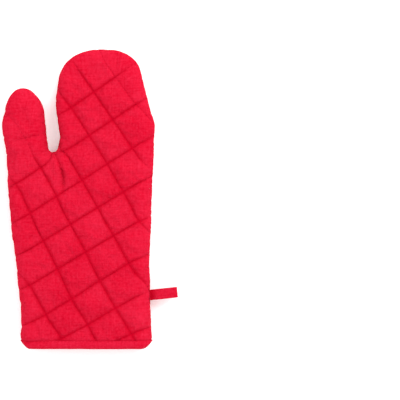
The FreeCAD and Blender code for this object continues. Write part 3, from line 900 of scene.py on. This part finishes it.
# The cloth simulation: steps, growth of the cloth, the padding's pressure, and the farthest that
# a point may move.
CLOTH_FRAMES = 16
CLOTH_GROWTH = -0.045
CLOTH_PRESSURE = 2.2
CLOTH_CAP = 3.0
CLOTH_SETTINGS = {
    "quality": 6, "mass": 0.25, "tension_stiffness": 12, "compression_stiffness": 12,
    "shear_stiffness": 4, "bending_stiffness": 0.35, "air_damping": 4, "use_pressure": True,
    "uniform_pressure_force": CLOTH_PRESSURE, "shrink_min": CLOTH_GROWTH,
    "vertex_group_mass": "stitched",
}
# How widely the border and a line of stitches pin the cloth, and the weakest pin that counts.
EDGE_PIN = 1.2
STITCH_PIN = 0.8
BOUND_PIN = 1.5
WEAKEST_PIN = 0.12


def puffed(side, flat, triangles, start, pins):
    """The cover's cloth after the padding has pushed it out between its stitched lines."""
    faces = triangles if side == "front" else triangles[:, ::-1]
    cloth = make_piece("cloth_" + side, start, faces, flat, COVER_CLOTH)
    group = cloth.vertex_groups.new(name="stitched")
    for i in np.nonzero(pins > 0)[0]:
        group.add([int(i)], float(pins[i]), "REPLACE")
    modifier = cloth.modifiers.new("cloth", "CLOTH")
    settings = modifier.settings
    for name, value in CLOTH_SETTINGS.items():
        setattr(settings, name, value)
    settings.effector_weights.gravity = 0
    modifier.collision_settings.use_collision = False
    modifier.point_cache.frame_end = CLOTH_FRAMES
    scene = bpy.context.scene
    for step in range(1, CLOTH_FRAMES + 1):
        scene.frame_set(step)
    shown = cloth.evaluated_get(bpy.context.evaluated_depsgraph_get())
    coords = np.empty(len(start) * 3)
    shown.data.vertices.foreach_get("co", coords)
    end = coords.reshape(-1, 3) / MM
    scene.frame_set(1)
    bpy.data.objects.remove(cloth)
    move = end - start
    size = np.linalg.norm(move, axis=1)
    return start + move * np.minimum(1, CLOTH_CAP / np.maximum(size, 1e-9))[:, None]


def pin_weights(side, flat):
    """How firmly each point is held: fully on the stitching, the border and the bound edge."""
    weights = np.exp(-(edge_distance(flat)[0] / EDGE_PIN) ** 2)
    stitched = flat[:, 1] > BAND_Y
    for gap, strength in line_field(side, flat):
        weights = np.maximum(weights, strength * stitched * np.exp(-(gap / STITCH_PIN) ** 2))
    weights[flat[:, 1] < BAND_Y + BOUND_PIN] = 1
    weights[weights < WEAKEST_PIN] = 0
    return np.clip(weights, 0, 1)


def closed_sheet(name, panel, triangles, outer, inner, sunk_shade, material):
    """A closed solid between two surfaces that share one flat pattern."""
    flat = panel.flat
    used = np.unique(triangles)
    renumber = -np.ones(len(flat), int)
    renumber[used] = np.arange(len(used))
    faces = renumber[triangles]
    count = len(used)
    directed = {(face[k], face[(k + 1) % 3]) for face in faces for k in range(3)}
    rim = [(a, b) for a, b in directed if (b, a) not in directed]
    walls = [(b, a, a + count, b + count) for a, b in sorted(rim)]
    both = [tuple(f) for f in faces] + [tuple(f[::-1] + count) for f in faces] + walls
    if panel.side == "back":
        both = [tuple(reversed(f)) for f in both]
    uv = np.vstack([flat[used], flat[used] + INNER_PLACE])
    # Painted shade goes on the outer surface only.
    depth = np.r_[sunk_shade[used], np.zeros(count)]
    piece = make_piece(name, np.vstack([outer[used], inner[used]]), both, uv, material, depth)
    normals = [side * panel.sign * vertex_normals(layer, panel.triangles)[used]
               for side, layer in ((1, outer), (-1, inner))]
    piece.data.normals_split_custom_set_from_vertices(np.vstack(normals).tolist())
    return piece


# ---------------------------------------------------------------- how the pieces are placed


def bends(piece, part):
    """The hand's and the thumb's pieces are baked where they lie; any other part is attached to its
    body.
    """
    if part == "hand":
        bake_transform(piece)
    elif part == "thumb":
        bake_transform(piece)
    else:
        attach(piece, part)


def nodes_of(part, *names):
    bodies = ("palm", "fingers") if part == "hand" else ("thumb",)
    return ["%s_%s" % (body, name) for body in bodies for name in names]


def placed(piece, slot, part, *names):
    """Hide the CAD nodes that a piece of the hand or the thumb replaces, and bake the piece in
    place. The slot argument is not used.
    """
    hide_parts(*nodes_of(part, *names))
    bends(piece, part)


# ---------------------------------------------------------------- the four padded covers


# The wrinkles along the two threads: height, size across x and y, and noise layer.
UPRIGHT_WRINKLES = (0.17, 3.6, 11.0, 12.5)
LEVEL_WRINKLES = (0.14, 12.0, 4.2, 15.5)
# A crease this deep gets as much painted shade as a stitched valley.
CREASE_FULL_SHADE = 2.5


class Panel:
    """One side's cloth: its flat pattern and where every point of it ended up."""

    def __init__(self, side):
        self.side = side
        self.sign = 1 if side == "front" else -1
        self.flat, self.triangles, self.on_thumb = pattern_mesh(side)
        start, self.sunk_shade = cover_shape(side, self.flat)
        pins = pin_weights(side, self.flat)
        self.outer = puffed(side, self.flat, self.triangles, start, pins)
        self.rumple()
        if side == "front":
            self.press_creases()
        else:
            self.outer[:, 2] = np.maximum(self.outer[:, 2], 0)
        self.outer[:len(SEWN), 2] = SEAM_Z
        self.normals = vertex_normals(self.outer, self.triangles) * self.sign
        self.tree = BVHTree.FromPolygons([(x, y, 0) for x, y in self.flat],
                                         self.triangles.tolist())

    def rumple(self):
        """Small wrinkles of the padded cloth, longer than they are wide, along both threads."""
        x, y = self.flat[:, 0], self.flat[:, 1]
        calm = smooth(y, BAND_Y + 1, BAND_Y + 6) * smooth(edge_distance(self.flat)[0], 0, 4)
        rise = sum(height * field(np.column_stack([x / wide, y / tall]), 1, layer)
                   for height, wide, tall, layer in (UPRIGHT_WRINKLES, LEVEL_WRINKLES))
        normals = vertex_normals(self.outer, self.triangles) * self.sign
        self.outer += normals * (calm * rise)[:, None]

    def press_creases(self):
        normals = vertex_normals(self.outer, self.triangles)
        for line, depth, width in CREASES:
            dent = crease_depth(self.flat, line, width)
            dent = dent * smooth(self.flat[:, 1], BAND_Y, BAND_Y + 4)
            dent = dent * smooth(edge_distance(self.flat)[0], 0.5, 4.5)
            self.outer -= normals * (depth * dent)[:, None]
            # Painted shade in the crease, stronger the deeper it is.
            painted_shade = np.clip(dent, 0, 1) * min(1, depth / CREASE_FULL_SHADE)
            self.sunk_shade = np.maximum(self.sunk_shade, painted_shade)

    def at(self, place):
        """Position and outward normal of the finished cloth at a place on the flat pattern."""
        spot, _, index, _ = self.tree.find_nearest((place[0], place[1], 0))
        a, b, c = self.flat[self.triangles[index]]
        matrix = np.array([[b[0] - a[0], c[0] - a[0]], [b[1] - a[1], c[1] - a[1]]])
        share = np.linalg.solve(matrix, np.array(spot[:2]) - a)
        weights = np.array([1 - share.sum(), share[0], share[1]])
        corner = self.triangles[index]
        normal = weights @ self.normals[corner]
        return weights @ self.outer[corner], normal / np.linalg.norm(normal)


PANELS = {side: Panel(side) for side in ("front", "back")}


def make_covers():
    for side, panel in PANELS.items():
        inner, _, _ = section(side, panel.flat, 0, CAVITY_INSET, PANEL)
        deep, _, _ = section(side, panel.flat, 0, CAVITY_INSET + LINING, PANEL + LINING)
        for part, chosen in (("hand", ~panel.on_thumb), ("thumb", panel.on_thumb)):
            triangles = panel.triangles[chosen]
            plain = np.zeros(len(panel.flat))
            cover = closed_sheet("%s_%s_quilted_panel" % (part, side), panel, triangles,
                                 panel.outer, inner, panel.sunk_shade, COVER_CLOTH)
            lining = closed_sheet("%s_%s_lining_cloth" % (part, side), panel, triangles,
                                  inner, deep, plain, LINING_CLOTH)
            placed(cover, "cover_fabric", part, side + "_cover", side + "_batting")
            placed(lining, "lining_fabric", part, side + "_lining")


make_covers()

# ---------------------------------------------------------------- stitches

STITCH = 2.7
STITCH_GAP = 0.9
THREAD = 0.24
STITCH_RISE = 0.22
STITCH_SIDES = 5
STITCH_RINGS = 5
FIRST_STITCH = 0.6
# A stitch's arch: the share of the half wave that is cut off at each end, its height and taper.
STITCH_ENDS = 0.08
STITCH_ARCH = 1.6
STITCH_TAPER = 0.4
# A stitch whose ends lie farther apart than this many lengths is left out.
LONGEST_STITCH = 1.6
# A line's stitches show where its strength is above this.
SHOWN_STRENGTH = 0.2


def tube_faces(rings, sides):
    """A closed tube's faces: one end, the wall ring by ring, and the other end."""
    faces = [tuple(range(sides))]
    for i in range(rings - 1):
        for k in range(sides):
            a, b = i * sides + k, i * sides + (k + 1) % sides
            faces.append((a, a + sides, b + sides, b))
    last = (rings - 1) * sides
    faces.append(tuple(last + k for k in range(sides))[::-1])
    return faces


def spindle(start, end, normal, radius, rise):
    """One stitch: an arched thread that sinks into the cloth at both ends."""
    along = end - start
    length = np.linalg.norm(along)
    along = along / length
    across = np.cross(normal, along)
    across = across / np.linalg.norm(across)
    normal = np.cross(along, across)
    vertices, uv = [], []
    for i in range(STITCH_RINGS):
        share = i / (STITCH_RINGS - 1)
        bow = math.sin(math.pi * (STITCH_ENDS + (1 - 2 * STITCH_ENDS) * share))
        centre = start + (end - start) * share + normal * (rise * (STITCH_ARCH * bow - 1))
        for k in range(STITCH_SIDES):
            angle = 2 * math.pi * k / STITCH_SIDES
            offset = across * math.cos(angle) + normal * math.sin(angle)
            vertices.append(centre + offset * radius * bow ** STITCH_TAPER)
            uv.append((share * length, k / STITCH_SIDES))
    faces = [face[::-1] for face in tube_faces(STITCH_RINGS, STITCH_SIDES)]
    return vertices, faces, uv


def joined(name, parts, material):
    """One piece made of many small closed solids."""
    vertices, faces, uvs = [], [], []
    for part_vertices, part_faces, part_uv in parts:
        first = len(vertices)
        vertices.extend(part_vertices)
        faces.extend(tuple(i + first for i in face) for face in part_faces)
        uvs.extend(part_uv)
    return make_piece(name, vertices, faces, uvs, material)


def stitched(surface, line, pitch=STITCH + STITCH_GAP, length=STITCH, radius=THREAD,
             rise=STITCH_RISE):
    """Stitches along a line of pattern places, with surface giving position and normal."""
    steps = np.r_[0, np.cumsum(np.linalg.norm(np.diff(line, axis=0), axis=1))]
    parts = []
    for place in np.arange(FIRST_STITCH, steps[-1] - length, pitch):
        ends = [np.array([np.interp(p, steps, line[:, k]) for k in (0, 1)])
                for p in (place, place + length)]
        (start, up_start), (end, up_end) = surface(ends[0]), surface(ends[1])
        if np.linalg.norm(end - start) > LONGEST_STITCH * length:
            continue
        parts.append(spindle(start, end, up_start + up_end, radius, rise))
    return parts


def strong_runs(side, family, line):
    """The stretches of a line where its stitching is tight enough for stitches to show."""
    return kept_runs(line, line_field(side, line)[family][1] > SHOWN_STRENGTH)


def make_quilting():
    for side, panel in PANELS.items():
        split = thumb_border(side)
        region = thumb_polygon(split)
        sewn = {"hand": [], "thumb": []}
        for family, line in quilting_lines(side):
            for run in strong_runs(side, family, line):
                on_thumb = inside_polygon(run, region) | on_split(run, split)
                for part, chosen in (("hand", ~on_thumb), ("thumb", on_thumb)):
                    places = np.nonzero(chosen)[0]
                    for group in np.split(places, np.nonzero(np.diff(places) > 1)[0] + 1):
                        if len(group) > 2:
                            sewn[part] += stitched(panel.at, run[group])
        for part, parts in sewn.items():
            piece = joined("%s_%s_quilting_stitches" % (part, side), parts, SEWING_THREAD)
            placed(piece, "sewing_thread", part, side + "_quilting_thread")


make_quilting()

# ---------------------------------------------------------------- the seam inside

SEAM_STITCH_INSET = 2.4
SEAM_INSET = 6.2
OVERLOCK_SIDES = 10
OVERLOCK_RIDGE = 0.28
OVERLOCK_WIDTH = 3.4
OVERLOCK_THICK = 1.5
OVERLOCK_PITCH = 2.2


def seam_runs():
    """The sewn outline as its hand stretches and its thumb stretch."""
    top = np.linalg.norm(SEWN - CROTCH, axis=1).argmin()
    left = np.linalg.norm(SEWN - thumb_border("back")[0], axis=1).argmin()
    return {"hand": [SEWN[2:top + 1], SEWN[left:-2]], "thumb": [SEWN[top:left + 1]]}


def flat_surface(place):
    return np.array([place[0], place[1], SEAM_Z]), np.array([0.0, 0.0, 1.0])


def overlock_band(line):
    """The allowance's edge wrapped in thread: a flat band with a slanting ridge at each stitch."""
    _, outward = edge_distance(line)
    path = resampled(line - outward * SEAM_INSET, OVERLOCK_PITCH / 4)
    ahead = np.gradient(path, axis=0)
    ahead /= np.linalg.norm(ahead, axis=1)[:, None]
    across = np.column_stack([ahead[:, 1], -ahead[:, 0]])
    sides = OVERLOCK_SIDES
    vertices, uv = [], []
    for i, (place, side) in enumerate(zip(path, across)):
        for k in range(sides):
            angle = 2 * math.pi * k / sides
            slant = 0.5 * math.cos(angle)
            ridge = 1 + OVERLOCK_RIDGE * math.sin(2 * math.pi * (i / 4 + slant))
            flatness = OVERLOCK_WIDTH / 2 * math.cos(angle)
            height = OVERLOCK_THICK / 2 * math.sin(angle) * ridge
            spot = place + side * flatness
            vertices.append(np.array([spot[0], spot[1], SEAM_Z + height]))
            uv.append((i * OVERLOCK_PITCH / 4, k / sides))
    return vertices, tube_faces(len(path), sides), uv


def make_seams():
    for part, lines in seam_runs().items():
        sewn, wrapped = [], []
        for line in lines:
            _, outward = edge_distance(line)
            sewn += stitched(flat_surface, line - outward * SEAM_STITCH_INSET)
            wrapped.append(overlock_band(line))
        seam = joined(part + "_seam_stitches", sewn, SEWING_THREAD)
        overlock = joined(part + "_overlocked_edge", wrapped, OVERLOCK_THREAD)
        placed(seam, "sewing_thread", part, "seam_thread")
        placed(overlock, "overlock_thread", part, "overlock_thread")


make_seams()

# ---------------------------------------------------------------- the bound mouth

# The binding's section, from its upper edge outside, round the mouth's edge and up inside:
# distance above the mouth's edge, and how far it stands off the plain padded shape.
BINDING_SECTION = [
    (8.8, -1.6), (8.7, -0.9), (8.2, -0.35), (7.5, -0.05), (6.4, 0.35), (5.0, 0.55), (3.4, 0.50),
    (1.8, 0.05), (0.6, -0.9), (0.0, -2.2), (0.0, -3.8), (0.6, -5.2), (1.8, -6.3), (4.0, -6.7),
    (7.0, -6.6), (8.9, -6.3), (9.0, -5.7), (7.0, -6.0), (4.0, -6.0), (2.3, -5.6), (1.2, -4.9),
    (0.7, -3.7), (0.7, -2.3), (1.2, -1.3), (2.2, -0.6), (3.6, -0.2), (5.2, -0.15), (6.6, -0.4),
    (7.6, -0.75), (8.2, -1.2),
]
MOUTH_STATIONS = 92
MOUTH_STEP = 1.5
# The binding's unevenness: height, size and noise layer of its ripples, its waves and its edge.
BINDING_RIPPLE = (0.25, 13, 4.4)
BINDING_WAVE = (0.5, 30, 9.1)
EDGE_WANDER = (0.18, 21, 2.2)
# Only the outside can puff, between these heights, and it gets painted shade along its upper edge.
BINDING_OUTSIDE = -3
PUFF_LOW, PUFF_HIGH = 1, 9
SHADE_START = 7.9
SHADE_RUN = 0.9


def mouth_stations():
    """Places round the mouth: across the front from right to left, then back underneath."""
    shares = np.arange(MOUTH_STATIONS) / MOUTH_STATIONS
    return [("front", 1 - share) for share in shares] + [("back", share) for share in shares]


def binding_points(side, share, height, stand):
    """Points of the bound edge at a share of the way from its left seam to its right one."""
    left, right = seam_x(CUFF_Y + height)
    x = left + (right - left) * share
    y = CUFF_Y + MOUTH_INSET + height + mouth_lift(x, height)
    left, right = seam_x(y)
    places = np.column_stack([left + (right - left) * share, y])
    wave = uneven(places, *BINDING_RIPPLE) + uneven(places * [1, 0.2], *BINDING_WAVE)
    places[:, 1] += uneven(places * [1, 0], *EDGE_WANDER)
    free = (stand > BINDING_OUTSIDE) & (height > PUFF_LOW) & (height < PUFF_HIGH)
    puff = np.where(free, wave, 0.0)
    if side == "back":
        puff = np.minimum(puff, 0)
        stand = np.minimum(stand, 0)
    shape, _, _ = section(side, places, stand + puff)
    shape[:, 2] = np.maximum(shape[:, 2], 0)
    return shape


def make_binding():
    stations = mouth_stations()
    heights = np.array([h for h, _ in BINDING_SECTION])
    stands = np.array([s for _, s in BINDING_SECTION])
    rings = len(BINDING_SECTION)
    vertices, uv, sunk_shade = [], [], []
    walked = np.r_[0, np.cumsum(np.hypot(np.diff(heights), np.diff(stands)))]
    for i, (side, share) in enumerate(stations):
        vertices.extend(binding_points(side, share, heights, stands))
        uv.extend((i * MOUTH_STEP, BINDING_PLACE + w) for w in walked)
        # Painted shade along the binding's upper edge, on its outside.
        upper = np.clip((heights - SHADE_START) / SHADE_RUN, 0, 1)
        sunk_shade.extend(upper * (stands > BINDING_OUTSIDE))
    count = len(stations)
    faces = []
    for i in range(count):
        for k in range(rings):
            a, b = i * rings + k, i * rings + (k + 1) % rings
            c, d = (i + 1) % count * rings + k, (i + 1) % count * rings + (k + 1) % rings
            faces.append((a, c, d, b))
    binding = make_piece("cuff_edge_binding", vertices, faces, uv, BINDING_CLOTH, sunk_shade)
    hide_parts("cuff_binding")
    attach(binding, "palm")


make_binding()

TOPSTITCH_HEIGHT = 7.6
TOPSTITCH_STAND = {"front": -0.2, "back": -0.6}


def make_topstitch():
    """A row of stitches along the binding's upper edge, on both sides of the mitt."""
    parts = []
    left, right = seam_x(CUFF_Y + TOPSTITCH_HEIGHT)
    for side in ("front", "back"):
        sign = 1 if side == "front" else -1

        def on_binding(place, side=side, sign=sign):
            share = (place[0] - left) / (right - left) + np.array([0, 0.003])
            height = np.full(2, TOPSTITCH_HEIGHT)
            shape = binding_points(side, share, height, np.full(2, TOPSTITCH_STAND[side]))
            along = shape[1] - shape[0]
            normal = np.cross(along, (0, 1, 0))
            normal = normal / np.linalg.norm(normal)
            return shape[0], normal if normal[2] * sign > 0 else -normal

        line = np.column_stack([np.linspace(left + 1, right - 1, 200), np.zeros(200)])
        parts += stitched(on_binding, line)
    piece = joined("binding_stitches", parts, SEWING_THREAD)
    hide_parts("binding_topstitch")
    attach(piece, "palm")


make_topstitch()

# ---------------------------------------------------------------- the hanging loop

TAPE_WIDTH = 10.9
TAPE_PLY = 0.9
# The loop's middle line: distance out from its root, and height above the side seam.
LOOP_LINE = [
    (-6.5, 0.55), (-3.5, 0.55), (-0.5, 0.6), (2.5, 0.9), (7.0, 1.7), (13.0, 2.25), (19.0, 2.3),
    (23.5, 2.0), (25.4, 1.1), (25.7, 0.0), (25.4, -1.1), (23.5, -2.0), (19.0, -2.2),
    (13.0, -2.0), (7.0, -1.5), (2.5, -0.85), (-0.5, -0.6), (-3.5, -0.55), (-6.5, -0.55),
]
LOOP_STEPS = 90
# The tape has a painted shadow at its root, fading over this length.
ROOT_SHADE = 4.0


def smooth_path(points, count):
    """A smooth open line through given points."""
    points = np.array(points, float)
    pad = np.vstack([2 * points[0] - points[1], points, 2 * points[-1] - points[-2]])
    places = np.linspace(0, len(points) - 1 - 1e-6, count)
    line = []
    for place in places:
        i = int(place)
        t = place - i
        p0, p1, p2, p3 = pad[i], pad[i + 1], pad[i + 2], pad[i + 3]
        line.append(0.5 * (2 * p1 + (p2 - p0) * t + (2 * p0 - 5 * p1 + 4 * p2 - p3) * t ** 2
                           + (3 * p1 - p0 - 3 * p2 + p3) * t ** 3))
    return np.array(line)


def tape_section():
    """The tape's section: flat faces, rounded edges and a low ridge near each edge."""
    half, thick = TAPE_WIDTH / 2, TAPE_PLY / 2
    top = [(half - 0.05, 0.35), (half - 0.45, 0.9), (half - 1.2, 1.0), (half - 2.0, 0.62),
           (half - 3.0, 0.85), (0, 0.9)]
    right = [(x, z * thick) for x, z in top]
    left = [(-x, z) for x, z in right[-2::-1]]
    upper = right + left
    return upper + [(x, -z) for x, z in upper[::-1]]


def make_loop():
    path = smooth_path(LOOP_LINE, LOOP_STEPS)
    profile = tape_section()
    ahead = np.gradient(path, axis=0)
    ahead /= np.linalg.norm(ahead, axis=1)[:, None]
    up = np.column_stack([-ahead[:, 1], ahead[:, 0]])
    walked = np.r_[0, np.cumsum(np.linalg.norm(np.diff(path, axis=0), axis=1))]
    vertices, uv, shade = [], [], []
    for place, rise, far in zip(path, up, walked):
        for across, thick in profile:
            out, height = place + rise * thick
            spot = LOOP_ROOT + LOOP_ALONG * out + LOOP_ACROSS * across
            spot = spot + np.array([0, 0, height])
            vertices.append(spot)
            uv.append((far, TAPE_PLACE + across))
            # Painted shadow on the tape near its root.
            shade.append(math.exp(-(max(out, 0) / ROOT_SHADE) ** 2))
    faces = tube_faces(LOOP_STEPS, len(profile))
    loop = make_piece("hanging_loop_tape", vertices, faces, uv, TAPE_CLOTH, shade)
    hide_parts("hanging_loop", "loop_tail")
    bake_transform(loop)


make_loop()

BARTACK_INSET = 6.6
BARTACK_LENGTH = 12.5
BARTACK_STITCHES = 15
BARTACK_HALF_WIDTH = 0.85
BARTACK_LEAN = 0.35
BARTACK_THREAD = 0.26
BARTACK_RISE = 0.28


def make_bartack():
    """The close zigzag that holds the loop's tail, sewn through the front beside the seam."""
    panel = PANELS["front"]
    middle = LOOP_ROOT[:2] - LOOP_ALONG[:2] * BARTACK_INSET
    parts = []
    for i, share in enumerate(np.linspace(-0.5, 0.5, BARTACK_STITCHES)):
        centre = middle + LOOP_ACROSS[:2] * BARTACK_LENGTH * share
        lean = BARTACK_LEAN if i % 2 else -BARTACK_LEAN
        half = LOOP_ALONG[:2] * BARTACK_HALF_WIDTH + LOOP_ACROSS[:2] * lean
        (start, up_start), (end, up_end) = panel.at(centre - half), panel.at(centre + half)
        parts.append(spindle(start, end, up_start + up_end, BARTACK_THREAD, BARTACK_RISE))
    piece = joined("loop_bartack_stitches", parts, TACK_THREAD)
    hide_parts("loop_bartack")
    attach(piece, "palm")


make_bartack()

# ---------------------------------------------------------------- floor, light and camera

VIEW_WIDTH = 0.408
VIEW_CENTRE_X = 0.1117
CAMERA_HEIGHT = 2.6
MITT_HEIGHT = 0.014
SENSOR = 36.0
FLOOR_Z = -0.0003
# The floor is a light table, faintly lit from below, so the gap at the thumb stays pale.
FLOOR_GLOW = 0.2
FLOOR_REACH = 3
FLOOR_TONES = ((0.90, 0.90, 0.90, 1), (0.94, 0.94, 0.94, 1))
FLOOR_MOTTLE = 40
FLOOR_ROUGHNESS = 0.95
WHITE = (1, 1, 1, 1)
WORLD_STRENGTH = 1.1
# Each soft light's place, width and power.
KEY = ((0.75, 0.85, 1.15), 0.9, 17)
FILL = ((-0.9, -0.3, 1.3), 1.4, 6)


def area_light(name, place, size, energy):
    """A soft light that looks at the frame's origin."""
    light = bpy.data.lights.new(name, "AREA")
    light.size = size
    light.energy = energy
    lamp = bpy.data.objects.new(name, light)
    bpy.context.scene.collection.objects.link(lamp)
    lamp.location = place
    lamp.rotation_euler = (-Vector(place)).to_track_quat("-Z", "Y").to_euler()


def make_studio():
    scene = bpy.context.scene
    data = bpy.data.cameras.new("camera")
    camera = bpy.data.objects.new("camera", data)
    scene.collection.objects.link(camera)
    camera.location = (VIEW_CENTRE_X, 0, CAMERA_HEIGHT)
    data.sensor_width = SENSOR
    data.lens = SENSOR * (CAMERA_HEIGHT - MITT_HEIGHT) / VIEW_WIDTH
    scene.camera = camera
    world = bpy.data.worlds.new("studio")
    world.use_nodes = True
    backdrop = world.node_tree.nodes["Background"]
    backdrop.inputs["Color"].default_value = WHITE
    backdrop.inputs["Strength"].default_value = WORLD_STRENGTH
    scene.world = world
    scene.view_settings.view_transform = "Standard"
    area_light("key", *KEY)
    area_light("fill", *FILL)
    mesh = bpy.data.meshes.new("floor")
    corners = [(x * FLOOR_REACH, y * FLOOR_REACH, FLOOR_Z)
               for x, y in ((-1, -1), (1, -1), (1, 1), (-1, 1))]
    mesh.from_pydata(corners, [], [(0, 1, 2, 3)])
    floor = bpy.data.objects.new("floor", mesh)
    scene.collection.objects.link(floor)
    paper = Nodes("pale_floor")
    tone = paper.mix(paper.noise(None, FLOOR_MOTTLE), *FLOOR_TONES)
    paper.shader.inputs["Emission Color"].default_value = WHITE
    paper.shader.inputs["Emission Strength"].default_value = FLOOR_GLOW
    mesh.materials.append(paper.finish(tone, None, FLOOR_ROUGHNESS, 0.0, 0.0, WHITE))


make_studio()


def plain(bounds):
    return [list(corner) for corner in bounds]
